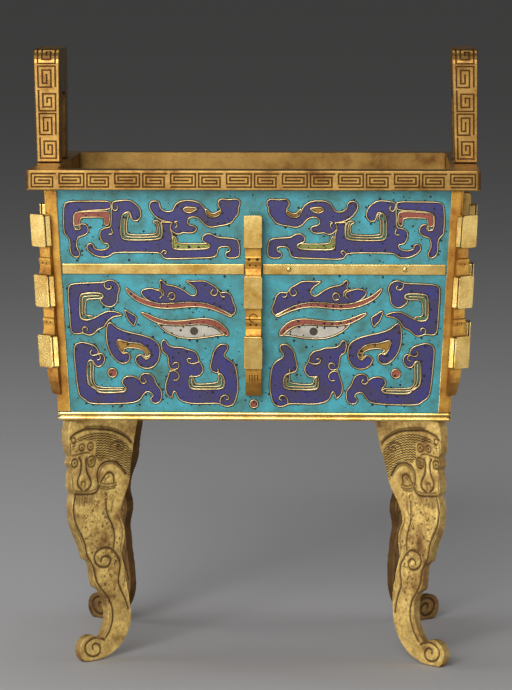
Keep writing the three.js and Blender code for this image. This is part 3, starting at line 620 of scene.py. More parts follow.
MASK_CELLS = [
    ("lapis", [
        (-62.8, 45.2), (-61.8, 46.6), (-55.8, 46.9), (-50.4, 47), (-49.5, 47.8), (-47.6, 47.9),
        (-45.8, 46.7), (-45.2, 44.7), (-46.2, 42.6), (-45.9, 41), (-47.3, 39), (-49.4, 38.6),
        (-51.2, 39.8), (-52.2, 41.3), (-50.7, 42.1), (-51.1, 43.2), (-52.8, 43.6), (-57.9, 43.4),
        (-58.8, 42.5), (-59, 35.2), (-57.9, 34.3), (-56, 34), (-52.8, 35.5), (-49.9, 37.3),
        (-47, 37.2), (-44.5, 36.3), (-44.8, 35.7), (-47.6, 35.5), (-49.6, 33.9), (-50.5, 31.9),
        (-52.9, 31.1), (-54.2, 29.4), (-56, 28.9), (-57.8, 29.9), (-59, 29.6), (-60.9, 29.4),
        (-62, 30.6), (-62.3, 36.9), (-62.6, 41),
    ]),
    ("green", [
        (-58.8, 42.5), (-57.7, 43.3), (-51.7, 43.5), (-50.9, 42.7), (-51.6, 41.5), (-56.2, 41.5),
        (-56.9, 40.7), (-57.2, 36.2), (-56.1, 35.6), (-54.2, 35.7), (-54.4, 34.5), (-57, 34.2),
        (-58.5, 34.8), (-58.9, 36.9),
    ]),
    ("lapis", [
        (-43.7, 37.5), (-42.8, 37.5), (-41.3, 36.3), (-39.6, 35.5), (-39.9, 33.7), (-40.6, 32.1),
        (-41.4, 33.2), (-42.3, 33.9), (-43, 35.6),
    ]),
    ("lapis", [
        (-38.5, 44), (-36.7, 44.9), (-34.6, 45.2), (-33, 44.5), (-31.6, 44.9), (-31.4, 46.1),
        (-31.9, 47.4), (-31.3, 48.1), (-30.6, 47.6), (-29.7, 46.3), (-26.9, 46), (-23.8, 44.7),
        (-21.3, 42.6), (-19.8, 42.6), (-19, 44.1), (-20.1, 45.8), (-22.3, 47.1), (-22.7, 47.8),
        (-21.1, 47.4), (-18.6, 47.7), (-16.1, 47.6), (-14.5, 46.5), (-12.3, 45.4), (-11.3, 43.4),
        (-9.3, 44.1), (-7.5, 42.8), (-7, 40.3), (-6, 38.6), (-6.3, 36.8), (-7.7, 35.7),
        (-9.9, 37.4), (-13.5, 39.3), (-17.6, 40.3), (-21.7, 40.5), (-26.9, 40), (-32.1, 39.7),
        (-36.2, 41),
    ]),
    ("red", [
        (-43.3, 45.3), (-42.2, 44.7), (-40.1, 42.7), (-36.2, 41), (-32.1, 39.7), (-26.9, 40),
        (-21.7, 40.5), (-17.6, 40.3), (-13.5, 39.3), (-9.9, 37.4), (-7.1, 36.1), (-7.7, 35.4),
        (-9.3, 36.1), (-13, 37.8), (-17.1, 38.9), (-21.7, 39), (-26.9, 38.3), (-31.6, 38.3),
        (-36.2, 39.2), (-40.4, 41.3), (-42.7, 43.6),
    ]),
    ("eyewhite", [
        (-32.6, 33.2), (-29, 32.6), (-23.8, 32.5), (-19.2, 33.1), (-15, 32.7), (-11.9, 31.4),
        (-9.7, 29.3), (-11.9, 29.2), (-16.6, 28.3), (-21.8, 27.9), (-25.9, 28.5), (-30.1, 30.4),
    ]),
    ("red", [
        (-38.1, 36.9), (-37.1, 36.8), (-33.7, 35.3), (-29.5, 33.8), (-23.8, 34), (-19.2, 34.8),
        (-14.8, 34.9), (-11.3, 33.6), (-8.7, 30.7), (-8.6, 29.2), (-9.7, 28.9), (-11.9, 31.4),
        (-15, 32.7), (-19.2, 33.1), (-23.8, 32.5), (-29, 32.6), (-33, 33.3), (-37.3, 35.8),
    ]),
    ("lapis", [
        (-49.1, 33.3), (-48.1, 33.3), (-46.3, 31.4), (-42.5, 30), (-38.4, 29.3), (-34.7, 28.1),
        (-32.4, 26.5), (-31.6, 23.9), (-32.1, 20.7), (-33.7, 18.3), (-36.4, 17.5), (-39, 18.5),
        (-40.3, 20.6), (-39.7, 22), (-38, 22.6), (-36.8, 21.6), (-35.4, 22), (-35, 23),
        (-35.8, 24.3), (-37.4, 25.7), (-39.4, 26.5), (-42.5, 26.5), (-45.6, 27.6), (-46.5, 27),
        (-45.9, 24.9), (-44.4, 22.8), (-42.6, 23.3), (-41.7, 21.7), (-42.6, 19.8), (-44.7, 19.2),
        (-47.2, 20.9), (-49.3, 24.3), (-50, 28.5), (-49.7, 32.2),
    ]),
    ("ochre", [
        (-46.5, 27.1), (-45.6, 27.7), (-42.5, 26.5), (-39.4, 26.5), (-37.4, 25.7), (-35.7, 24.3),
        (-35, 22.7), (-35.4, 21.4), (-36.6, 20.7), (-37.1, 21.4), (-36.5, 22.8), (-37.4, 23.9),
        (-39.4, 24.7), (-42.5, 24.9), (-44.2, 24.4), (-43.1, 23), (-44.2, 22.5), (-45.7, 24.3),
    ]),
    ("lapis", [
        (-61.1, 24.3), (-60.3, 26.1), (-58.1, 26.7), (-56, 26.1), (-53.9, 25.5), (-52.6, 23.8),
        (-52.9, 22.6), (-51.4, 23), (-50.3, 21.2), (-51.2, 18.8), (-53, 18.1), (-54, 19.1),
        (-54.5, 20.5), (-56, 20.5), (-56.6, 19), (-56.4, 12.7), (-55.5, 11.5), (-53.9, 11.2),
        (-53.2, 9.7), (-51.5, 9.2), (-45.8, 9.4), (-43.6, 9.7), (-43.2, 11), (-44.5, 12.3),
        (-44.7, 13.6), (-43.6, 14.9), (-41.6, 15.2), (-39.5, 14.5), (-38.6, 13.5), (-38.6, 15.1),
        (-37.3, 16.1), (-35, 15.9), (-33.7, 14.5), (-33, 12), (-31.6, 10.7), (-31.1, 8.6),
        (-31.7, 6.4), (-33.3, 5.6), (-34.7, 6.1), (-35.2, 7.4), (-34, 8.3), (-34.6, 9.4),
        (-36.2, 9.9), (-37.4, 9.1), (-38.5, 7), (-40.6, 5.9), (-47.9, 5.5), (-55.8, 5.5),
        (-57.2, 6.9), (-59, 7.9), (-59.8, 10.6), (-60.5, 18),
    ]),
    ("green", [
        (-56.6, 18.9), (-56, 20.4), (-54.7, 20.4), (-54.3, 19.1), (-54.6, 13.5), (-53.8, 12),
        (-52.9, 11.2), (-45.8, 10.9), (-44.3, 11.2), (-43.4, 10.5), (-44.1, 9.6), (-52, 9.3),
        (-53.5, 10.4), (-55.5, 11.5), (-56.3, 13.3),
    ]),
    ("lapis", [
        (-31.2, 27), (-30.5, 27.6), (-29.7, 27.2), (-29, 25.6), (-27, 24.9), (-23.9, 25),
        (-22.7, 24.2), (-20.3, 23.9), (-18.9, 22.3), (-18.6, 20.1), (-17.4, 18.9), (-17.1, 17),
        (-18.3, 15.2), (-20.4, 14.9), (-21.4, 15.3), (-22, 14.5), (-21.9, 11.3), (-20.6, 10.5),
        (-11, 10.7), (-10, 11.6), (-9.9, 14.4), (-11.1, 16.1), (-12.6, 16.3), (-14.2, 16.8),
        (-14.8, 18.4), (-14.3, 20.2), (-13.7, 23.4), (-12.1, 25.7), (-10.1, 26.3), (-8.6, 25.5),
        (-9.1, 23.9), (-10.2, 22.8), (-9.8, 21.5), (-7.5, 20.3), (-6.2, 18.7), (-5.5, 14.5),
        (-5.3, 10.8), (-6, 7.7), (-6.8, 5.4), (-9.1, 4.6), (-11.1, 5.4), (-12, 5.9), (-21.4, 5.6),
        (-25, 6.7), (-26, 8.4), (-26.5, 10), (-27.4, 9.8), (-27.8, 7.5), (-29.3, 8.6), (-30, 10.2),
        (-29.9, 12.8), (-29, 14.9), (-28.7, 16.6), (-27.9, 17.6), (-28.8, 18.6), (-28.9, 20.6),
        (-29.2, 22.5), (-30.9, 23.3), (-31.3, 25.4),
    ]),
    ("green", [
        (-22, 14.8), (-21.1, 15.2), (-20.2, 13.9), (-20.1, 12.8), (-19.2, 12.3), (-12.5, 12.7),
        (-11.9, 13.8), (-12.2, 16), (-11.1, 15.9), (-10, 14.4), (-10.1, 11.6), (-11.2, 10.7),
        (-20.5, 10.7), (-21.9, 11.4),
    ]),
]
DRAGON_CURLS = [
    [(-47.6, 73.3), (-47.5, 71.9), (-46.6, 71.3), (-45.6, 72.1), (-46, 73.1)],
    [(-43.5, 68.7), (-43.7, 63.5), (-43.1, 62.6), (-39.2, 62.4), (-32.5, 62.6), (-31.7, 63.3), (-31.7, 66.1), (-32.4, 67.5)],
    [(-48.8, 63.5), (-47.8, 63.4), (-47.5, 64.3), (-48, 65.4)],
    [(-31.1, 57.2), (-30.4, 58.1), (-29.5, 57.9), (-29.4, 57.1), (-30, 56.9)],
    [(-26.4, 65.7), (-25.7, 66.3), (-25.9, 67.2), (-26.8, 67.7), (-25.7, 67.9)],
    [(-60.2, 65.1), (-58.8, 64.9), (-58.1, 65.6), (-58.6, 66.5)],
    [(-41.6, 68.8), (-41.4, 69.7), (-41.9, 70.7)],
]
MASK_CURLS = [
    [(-50.4, 47), (-50.5, 45.7), (-49.6, 44.8), (-48.5, 44.8), (-47.9, 45.6), (-48.5, 46.1)],
    [(-57.8, 29.9), (-58.2, 31.3), (-57.2, 32), (-56.3, 31.5), (-56.4, 30.7)],
    [(-58, 36.1), (-58, 41.8), (-57.3, 42.4), (-52.3, 42.5)],
    [(-29, 42.2), (-28.8, 43.2), (-27.7, 43.9), (-26.7, 43.2), (-26.6, 42.1), (-27.4, 41.1), (-28.6, 41.6)],
    [(-33, 44.5), (-31.1, 44.1), (-30.8, 42.7), (-31.7, 41.8)],
    [(-31.6, 44.9), (-30.3, 44.1), (-30.4, 42.7)],
    [(-12.3, 45.4), (-12.1, 43.7), (-13, 42.5), (-14.3, 43), (-14.5, 44.1), (-13.7, 44.8)],
    [(-11.3, 43.4), (-10.8, 42.2), (-9.8, 42.3)],
    [(-38, 22.6), (-37.6, 21.6), (-36.6, 21.1), (-36.2, 21.6)],
    [(-44.6, 23.2), (-43.8, 23.8), (-44.4, 24.3)],
    [(-52.9, 22.6), (-54.1, 22), (-55.2, 22.3), (-55.6, 23.3), (-54.9, 23.9)],
    [(-52.9, 22.6), (-51.9, 22), (-52.1, 20.8), (-53, 20.6)],
    [(-38.6, 13.5), (-38, 12.6), (-36.9, 12.6), (-36.3, 13.5), (-37.1, 14.2)],
    [(-27.9, 17.6), (-26.5, 17.3), (-25.2, 18.2), (-25.5, 19.7), (-26.8, 19.9), (-27.5, 19)],
    [(-18.6, 20.1), (-20.3, 19.3), (-22, 19.6), (-22.7, 20.6), (-22.1, 21.3), (-21.2, 21.1)],
    [(-28.7, 16.6), (-27, 17.2), (-25.5, 16.2), (-25.2, 14.8), (-26.1, 13.6), (-27.3, 13.8)],
    [(-11.5, 6.1), (-11.4, 7.7), (-10.1, 8.8), (-8.8, 8.4), (-8.5, 7.3), (-9.4, 7)],
    [(-12.6, 16.3), (-11.9, 16.9), (-12.2, 17.8)],
    [(-55.3, 19.6), (-55.4, 13.3), (-54.6, 12.1), (-53.6, 10.8), (-52.5, 10.3), (-44.7, 10.4)],
    [(-21.1, 14.3), (-21, 12), (-20.3, 11.5), (-11.5, 11.6), (-10.9, 12.4), (-10.9, 14.7)],
]

LEVELS = {"lapis": 0.15, "eyewhite": 0.17, "green": 0.19, "leaf": 0.19, "ochre": 0.19, "red": 0.2,
          "pupil": 0.22}
# Round cells of the lower panel: colour, place from the wall's middle, height and radius
DOTS = [("red", -48.0, 16.2, 1.5), ("pupil", -20.2, 30.6, 1.4)]
CENTRE_DOT = ("red", 0.0, 5.7, 1.35)


def circle(x, y, radius, steps=18):
    turns = [2 * math.pi * i / steps for i in range(steps)]
    return [(x + radius * math.cos(turn), y + radius * math.sin(turn)) for turn in turns]


def wall_cells(squeeze):
    """All enamel cells of a wall as (colour, outline), and its wires as (points, closed)."""
    cells, wires = [], []
    for hand in (1, -1):
        for colour, points in DRAGON_CELLS + MASK_CELLS:
            outline = softened([(hand * x * squeeze, y) for x, y in points])
            cells.append((colour, outline))
            wires.append((outline, True))
        for points in DRAGON_CURLS + MASK_CURLS:
            line = softened([(hand * x * squeeze, y) for x, y in points], closed=False)
            wires.append((line, False))
        for colour, x, y, radius in DOTS:
            outline = circle(hand * x * squeeze, y, radius)
            cells.append((colour, outline))
            if colour != "pupil":
                wires.append((outline, True))
    colour, x, y, radius = CENTRE_DOT
    cells.append((colour, circle(x, y, radius)))
    wires.append((circle(x, y, radius), True))
    return cells, wires


def wire_mesh(lines, width, level, flatness, roundness):
    """Flattened wires along the lines, in the wall's own millimetres."""
    curve = bpy.data.curves.new("wires", "CURVE")
    curve.dimensions = "3D"
    curve.bevel_depth = width / 2
    curve.bevel_resolution = roundness
    curve.use_fill_caps = True
    for points, closed in lines:
        spline = curve.splines.new("POLY")
        spline.points.add(len(points) - 1)
        for place, (x, y) in zip(spline.points, points):
            place.co = (x, y, 0, 1)
        spline.use_cyclic_u = closed
    mesh = applied(temporary("wires", curve))
    mesh.transform(Matrix.Translation((0, 0, level)) @ Matrix.Scale(flatness, 4, (0, 0, 1)))
    return mesh


def pinholes(cells, lines, half_width, ground_high):
    """Dark specks where bubbles broke the enamel: most of them lie beside a wire."""
    scatter = random.Random(12)
    places = []
    for points, closed in lines:
        for (ax, ay), (bx, by) in zip(points, points[1:]):
            length = math.hypot(bx - ax, by - ay)
            if scatter.random() < 0.34 * length:
                away = scatter.choice((-1, 1)) * scatter.uniform(0.4, 0.95)
                places.append((ax - (by - ay) / length * away, ay + (bx - ax) / length * away))
    for i in range(230):
        places.append((scatter.uniform(-half_width, half_width),
                       scatter.uniform(4, BODY_HEIGHT - 1.5)))
    specks = bmesh.new()
    across, up = np.array(places).T
    levels = np.full(len(places), ground_high)
    for colour, outline in cells:
        levels = np.maximum(levels, inside(across, up, outline) * LEVELS[colour])
    edges = []
    for (x, y), level in zip(places, levels):
        size = 0.15 + 0.36 * scatter.random() ** 1.8
        corners = [specks.verts.new((*point, level + 0.015)) for point in circle(x, y, size, 6)]
        edges += [specks.edges.new(pair) for pair in zip(corners, corners[1:] + corners[:1])]
    faces = bmesh.ops.edgeloop_fill(specks, edges=edges)["faces"]
    for item in bmesh.ops.extrude_face_region(specks, geom=faces)["geom"]:
        if isinstance(item, bmesh.types.BMVert):
            item.co.z = 0.02
    return specks


class CENSER_OT_enamel(bpy.types.Operator):
    """Lays the turquoise ground on the four walls, and the dragons and the beast's face on it"""
    bl_idname = "censer.enamel"
    bl_label = "Enamel the walls"

    def execute(self, context):
        sizes = context.scene.censer_sizes
        ground_high = sizes.enamel * 1000
        for side in WALLS:
            matrix, foot_half, out = wall_of(side)
            top_half = foot_half + BODY_TAPER
            ground = bmesh.new()
            margin = 0.6
            prism(ground, [(-foot_half + margin, 0), (foot_half - margin, 0),
                           (top_half - margin, BODY_HEIGHT), (-top_half + margin, BODY_HEIGHT)],
                  0.01, ground_high)
            mesh = to_mesh(ground, "enamel_ground_" + side, matrix)
            settle("enamel_ground_" + side, mesh, ["turquoise"], "cloisonne_enamel")

            squeeze = (foot_half - 2.5) / (FOOT_HALF["x"] - 2.5)
            cells, lines = wall_cells(squeeze)
            colours = list(LEVELS)
            cell_bm = bmesh.new()
            for colour, outline in cells:
                corners = prism(cell_bm, outline, 0.03, LEVELS[colour])
                for face in {face for corner in corners for face in corner.link_faces}:
                    face.material_index = colours.index(colour)
            mesh = to_mesh(cell_bm, "enamel_cells_" + side, matrix)
            settle("enamel_cells_" + side, mesh, colours, "cloisonne_enamel")

            specks = pinholes(cells, lines, foot_half - 1.5, ground_high)
            mesh = to_mesh(specks, "pinholes_" + side, matrix)
            settle("pinholes_" + side, mesh, ["pinhole_black"], "cloisonne_enamel")

            width = sizes.wire * 1000
            # Each gilt wire lies on a wider dark strip, which is painted shadow along its edges.
            for name, extra, level, flatness, roundness, material in (
                    ("wires_", 0, 0.06, 0.55, 1, "gilt_wire"),
                    ("wire_shadows_", 0.36, 0.1, 0.16, 0, "darkened_copper")):
                mesh = wire_mesh(lines, width + extra, ground_high + level, flatness, roundness)
                mesh.transform(Matrix.Scale(0.001, 4) @ matrix)
                settle(name + side, mesh, [material], "bright_gilt")
        return {"FINISHED"}


class CENSER_OT_bowl(bpy.types.Operator):
    """Gives the hollow box of the censer its gilt inside"""
    bl_idname = "censer.bowl"
    bl_label = "Gild the bowl"

    def execute(self, context):
        bowl = bpy.data.objects["vessel_body"]
        bowl.data.materials.clear()
        bowl.data.materials.append(finish("bowl_gilding"))
        return {"FINISHED"}


def fret_path(width, height, is_turned):
    """Groove of one fret cell, five rows deep. Every other cell of a band is turned over."""
    row = height / 4
    far, mid, near = width / 2, width / 2 - row, width / 2 - 2 * row
    if is_turned:
        return [(-far, -2 * row), (far, -2 * row), (far, 2 * row), (-far, 2 * row), (-far, -row),
                (mid, -row), (mid, row), (-mid, row), (-mid, 0), (near, 0)]
    return [(-near, 0), (near, 0), (near, -row), (-mid, -row), (-mid, row), (mid, row),
            (mid, -2 * row), (-far, -2 * row), (-far, 2 * row), (far, 2 * row)]


def facing(at, along, up):
    """Takes a flat drawing to a face: x along, y up, and z out of it."""
    out = along.cross(up)
    matrix = Matrix.Identity(4)
    for column, axis in enumerate((along, up, out, at)):
        for row in range(3):
            matrix[row][column] = axis[row]
    return matrix


def rounded_rectangle(half_x, half_y, radius, steps=4):
    points = []
    for quarter, (sx, sy) in enumerate(((1, 1), (-1, 1), (-1, -1), (1, -1))):
        for i in range(steps + 1):
            turn = (quarter + i / steps) * math.pi / 2
            points.append((sx * (half_x - radius) + radius * math.cos(turn),
                           sy * (half_y - radius) + radius * math.sin(turn)))
    return points


def round_edges(bm, chosen, amount, segments=2):
    edges = [edge for edge in bm.edges if chosen(edge)]
    bmesh.ops.bevel(bm, geom=edges, offset=amount, offset_type="OFFSET", segments=segments,
                    profile=0.5, affect="EDGES", material=-1)


def is_sharp(edge):
    return edge.is_manifold and edge.calc_face_angle(0) > 0.9


FRET_CELLS = {"front": 16, "back": 16, "left": 12, "right": 12}
FRET_HEIGHT = 4.4
FRET_MARGIN = 1.3


class CENSER_OT_rim(bpy.types.Operator):
    """Makes the flat rim, rounds its edges and engraves the key fret round it"""
    bl_idname = "censer.rim"
    bl_label = "Make the rim"

    def execute(self, context):
        sizes = context.scene.censer_sizes
        groove, depth, edge = sizes.groove * 1000, sizes.groove_depth * 1000, sizes.edge * 1000
        block = bmesh.new()
        prism(block, rounded_rectangle(*RIM_HALF, 1.2), RIM_LOW, RIM_HIGH)
        round_edges(block, lambda e: is_sharp(e) and e.verts[0].co.z == e.verts[1].co.z, edge, 3)
        mouth = bmesh.new()
        prism(mouth, rounded_rectangle(*MOUTH_HALF, 0.3, 1), RIM_LOW - 2, RIM_HIGH + 2)
        block = combined(block, mouth, "DIFFERENCE")
        grooves = bmesh.new()
        middle = (RIM_LOW + RIM_HIGH) / 2
        for side, out in WALLS.items():
            along = UP.cross(out)
            half = abs(along.x) * RIM_HALF[0] + abs(along.y) * RIM_HALF[1]
            face = abs(out.x) * RIM_HALF[0] + abs(out.y) * RIM_HALF[1]
            pitch = 2 * (half - FRET_MARGIN) / FRET_CELLS[side]
            for i in range(FRET_CELLS[side]):
                place = -half + FRET_MARGIN + (i + 0.5) * pitch
                path = fret_path(pitch - 1.1, FRET_HEIGHT, i % 2 == 1)
                corners = prism(grooves, stroke(path, groove), -depth, 1)
                at = out * face + along * place + UP * middle
                bmesh.ops.transform(grooves, matrix=facing(at, along, UP), verts=corners)
        block = combined(block, grooves, "DIFFERENCE")
        mesh = to_mesh(block, "rim_fret")

        def depth_of(centre, normal):
            inset = min(RIM_HALF[0] - abs(centre.x), RIM_HALF[1] - abs(centre.y))
            in_band = RIM_LOW + 0.8 < centre.z < RIM_HIGH - 0.8
            return 0.8 if in_band and 0.1 < inset < 1 else 0.0

        mark_hollow(mesh, depth_of)
        settle("rim_fret", mesh, ["engraved_gilding"], "engraved_gilt", ["rim"])
        return {"FINISHED"}


HANDLE = {"height": 39.2, "half": 17.0, "bar": 8.9, "opening": 23.8, "thick": 7.9, "top": 9.0,
          "shoulder": 5.0, "inner_corner": 2.5, "lean": 0.65}
HANDLE_CELLS = 13
HANDLE_MARGIN = 0.9


def handle_outline():
    h = HANDLE
    inner = h["half"] - h["bar"]
    points = [(-h["half"], 0), (-inner, 0)]
    for i in range(5):
        turn = math.pi - i * math.pi / 8
        points.append((-inner + h["inner_corner"] * (1 + math.cos(turn)),
                       h["opening"] - h["inner_corner"] * (1 - math.sin(turn))))
    for i in range(5):
        turn = math.pi / 2 - i * math.pi / 8
        points.append((inner - h["inner_corner"] * (1 - math.cos(turn)),
                       h["opening"] - h["inner_corner"] * (1 - math.sin(turn))))
    points += [(inner, 0), (h["half"], 0)]
    for first in (0, 1):
        for i in range(7):
            turn = (first + i / 6) * math.pi / 2
            points.append(((h["half"] - h["shoulder"]) * (1 if first == 0 else -1)
                           + h["shoulder"] * math.cos(turn),
                           h["height"] - h["shoulder"] * (1 - math.sin(turn))))
    return points


def on_loop(run, depth):
    """Place on the outside of a handle: run is the way up its front, over the top and down."""
    h = HANDLE
    straight = h["height"] - h["shoulder"]
    bend = h["shoulder"] * math.pi / 2
    over = 2 * (h["half"] - h["shoulder"])
    if run > straight + bend + over / 2:
        y, z = on_loop(2 * (straight + bend) + over - run, depth)
        return -y, z
    if run <= straight:
        return -h["half"] - depth, run
    if run <= straight + bend:
        turn = (run - straight) / h["shoulder"]
        reach = h["shoulder"] + depth
        return -h["half"] + h["shoulder"] - reach * math.cos(turn), straight + reach * math.sin(turn)
    return -h["half"] + h["shoulder"] + run - straight - bend, h["height"] + depth


def finely_stepped(path, step=0.6):
    points = []
    for (ax, ay), (bx, by) in zip(path, path[1:]):
        count = max(1, round(math.hypot(bx - ax, by - ay) / step))
        points += [(ax + (bx - ax) * i / count, ay + (by - ay) * i / count) for i in range(count)]
    return points + [path[-1]]


class CENSER_OT_handles(bpy.types.Operator):
    """Makes the two loop handles and runs the key fret up, over and down their outside"""
    bl_idname = "censer.handles"
    bl_label = "Make the handles"

    def execute(self, context):
        sizes = context.scene.censer_sizes
        groove, depth, edge = sizes.groove * 1000, sizes.groove_depth * 1000, sizes.edge * 1000
        h = HANDLE
        half_thick = h["thick"] / 2
        straight = h["height"] - h["shoulder"]
        whole = 2 * straight + h["shoulder"] * math.pi + 2 * (h["half"] - h["shoulder"])
        pitch = (whole - 2 * HANDLE_MARGIN) / HANDLE_CELLS
        for name, side in (("left", -1), ("right", 1)):
            block = bmesh.new()
            prism(block, handle_outline(), -half_thick, half_thick)
            round_edges(block, is_sharp, edge)
            bmesh.ops.transform(block, matrix=facing(Vector(), Vector((0, 1, 0)), UP), verts=block.verts)
            grooves = bmesh.new()
            for i in range(HANDLE_CELLS):
                path = fret_path(pitch - 0.95, h["thick"] - 2.5, i % 2 == 1)
                cell = bmesh.new()
                prism(cell, stroke(finely_stepped(path), groove), -depth, 1)
                bmesh.ops.triangulate(cell, faces=cell.faces)
                middle = HANDLE_MARGIN + (i + 0.5) * pitch
                for vert in cell.verts:
                    y, z = on_loop(middle + vert.co.x, vert.co.z)
                    vert.co = (-vert.co.y, y, z)
                part = bpy.data.meshes.new("cell")
                cell.to_mesh(part)
                cell.free()
                grooves.from_mesh(part)
                bpy.data.meshes.remove(part)
            block = combined(block, grooves, "DIFFERENCE")
            bmesh.ops.recalc_face_normals(block, faces=block.faces)
            mesh = bpy.data.meshes.new("handle_loop_" + name)
            block.to_mesh(mesh)
            block.free()
            mesh.transform(Matrix.Scale(0.001, 4))

            def depth_of(centre, normal):
                y, z = abs(centre.y), centre.z
                if z > straight and y > h["half"] - h["shoulder"]:
                    inset = h["shoulder"] - math.hypot(y - h["half"] + h["shoulder"], z - straight)
                else:
                    inset = min(h["half"] - y, h["height"] - z)
                in_band = abs(centre.x) < half_thick - 0.8
                return 0.8 if in_band and 0.1 < inset < 1 else 0.0

            mark_hollow(mesh, depth_of)
            middle_x = side * (RIM_HALF[0] - half_thick)
            for vert in mesh.vertices:
                share = vert.co.z * 1000 / h["height"]
                swell = 1 + (h["top"] / h["thick"] - 1) * share
                vert.co.x = (middle_x - h["lean"] * share) / 1000 + vert.co.x * swell
                vert.co.z += (RIM_HIGH + WALL_GAP) / 1000
            settle("handle_loop_" + name, mesh, ["engraved_gilding"], "engraved_gilt",
                   ["handle_" + name])
        return {"FINISHED"}


BELT_LOW = 134.9
BELT_HEIGHT = 3.5
POST_WIDTH = 3.1
POST_PROUD = 0.8
BELT_PROUD = 0.7
CENTRE_THICK = 5.5
# Heads of the pins through the front belt, from the middle of the wall
BELT_PINS = (11.9, 51.0)


class CENSER_OT_belts(bpy.types.Operator):
    """Makes the gilt strips that part the upper enamel from the lower, and their pins"""
    bl_idname = "censer.belts"
    bl_label = "Make the belts"

    def execute(self, context):
        for side in WALLS:
            matrix, foot_half, out = wall_of(side)
            low = BELT_LOW - BODY_FOOT
            far = foot_half + low * FLARE - POST_WIDTH - WALL_GAP
            near = CENTRE_THICK / 2 + WALL_GAP
            belt = bmesh.new()
            for hand in (1, -1):
                ends = sorted((hand * near, hand * far))
                prism(belt, [(ends[0], low), (ends[1], low), (ends[1], low + BELT_HEIGHT),
                             (ends[0], low + BELT_HEIGHT)], WALL_GAP, WALL_GAP + BELT_PROUD)
            round_edges(belt, lambda e: is_sharp(e) and min(v.co.z for v in e.verts) > 0.6, 0.2)
            if side == "front":
                for x in BELT_PINS:
                    at = Matrix.Translation((x, low + BELT_HEIGHT * 0.5, WALL_GAP + BELT_PROUD))
                    squash = Matrix.Scale(0.3, 4, (0, 0, 1))
                    bmesh.ops.create_uvsphere(belt, u_segments=14, v_segments=8, radius=0.9,
                                              matrix=at @ squash)
            mesh = to_mesh(belt, "belt_" + side, matrix)
            halves = ("left", "right") if out.x == 0 else ("front", "back")
            settle("belt_" + side, mesh, ["burnished_gilding"], "bright_gilt",
                   ["belt_%s_%s" % (side, half) for half in halves])
        return {"FINISHED"}


# Outside of the foot moulding, upwards: how far it stands out from the wall, and its height
MOULDING_SECTION = [
    (0.95, 0), (1.18, 0.12), (1.25, 0.42), (1.25, 0.75), (1.15, 1.05), (0.75, 1.15), (0.7, 1.4),
    (0.75, 1.58), (1.05, 1.68), (1.15, 1.95), (1.15, 2.35), (1.05, 2.68), (0.85, 2.8),
    (0.28, 2.85), (0.28, 0)]


class CENSER_OT_moulding(bpy.types.Operator):
    """Makes the moulding of two beads round the foot of the box"""
    bl_idname = "censer.moulding"
    bl_label = "Make the foot moulding"

    def execute(self, context):
        ring = bmesh.new()
        loops = []
        for proud, height in MOULDING_SECTION:
            grow = proud + height * FLARE
            outline = rounded_rectangle(FOOT_HALF["x"] + grow, FOOT_HALF["y"] + grow, 0.7, 3)
            verts = [ring.verts.new((x, y, BODY_FOOT + height)) for x, y in outline]
            loops.append([ring.edges.new((a, b)) for a, b in zip(verts, verts[1:] + verts[:1])])
        for lower, upper in zip(loops, loops[1:] + loops[:1]):
            bmesh.ops.bridge_loops(ring, edges=lower + upper)
        mesh = to_mesh(ring, "foot_moulding")
        settle("foot_moulding", mesh, ["burnished_gilding"], "bright_gilt", ["base_moulding"])
        return {"FINISHED"}

BLOCK_TOPS = (70.4, 49.9, 29.4)
BLOCK_HEIGHT = 11.0
BLOCK_STEP = 2.6
BLOCK_DEPTH = 2.95
# A block's cap stands off its body by a fine line, painted dark with patina and shadow
CAP_THICK = 0.5
CAP_LINE = 0.3
TAIL_END = 8.9
# A plate has one thickness where it meets the wall and another at its neck, behind the blocks
CENTRE = {"projection": 7.6, "block": 6.2, "neck": 5.5, "at_wall": 5.5, "root": 3.0}
CORNER = {"projection": 5.4, "block": 7.0, "neck": 5.5, "at_wall": 2.1, "root": 1.2}
# Edge of the plate below a block, and of the tail below the last one: share of the drop, and how
# far the point stands out from the neck
RECESS_EDGE = [(0.32, 0), (0.37, 0.08), (0.41, 0.4), (0.5, 0.4), (0.64, 0.2), (0.75, 0.2),
               (0.86, 0.36), (0.94, 0.55), (1, 0.75)]
TAIL_EDGE = [(0.16, -0.02), (0.35, -0.1), (0.52, -0.33), (0.7, -0.6), (0.82, -0.78),
             (0.9, -0.95), (1, -1.2)]
TONGUE = {"height": 4.2, "drawback": 2.4, "rounding": 1.4}
POST_LOW = 3.1


def plate_edge(projection, has_tongue):
    """Outer edge of a flange plate, from its top down: out from the wall, and height."""
    neck = projection - BLOCK_STEP
    edge = [(neck, BLOCK_TOPS[0] - 1)]
    if has_tongue:
        top, radius = BLOCK_TOPS[0] + TONGUE["height"], TONGUE["rounding"]
        reach = projection - TONGUE["drawback"]
        turns = [math.pi / 2 * (1 - i / 4) for i in range(5)]
        edge = [(reach - radius + radius * math.cos(turn), top - radius + radius * math.sin(turn))
                for turn in turns] + [(reach, BLOCK_TOPS[0] - 1)]
    for i, top in enumerate(BLOCK_TOPS):
        is_last = i + 1 == len(BLOCK_TOPS)
        bottom = top - BLOCK_HEIGHT
        drop = bottom - (TAIL_END if is_last else BLOCK_TOPS[i + 1])
        edge += [(neck + step, bottom - share * drop)
                 for share, step in (TAIL_EDGE if is_last else RECESS_EDGE)]
        if not is_last:
            edge.append((neck, BLOCK_TOPS[i + 1] - 1))
    return edge


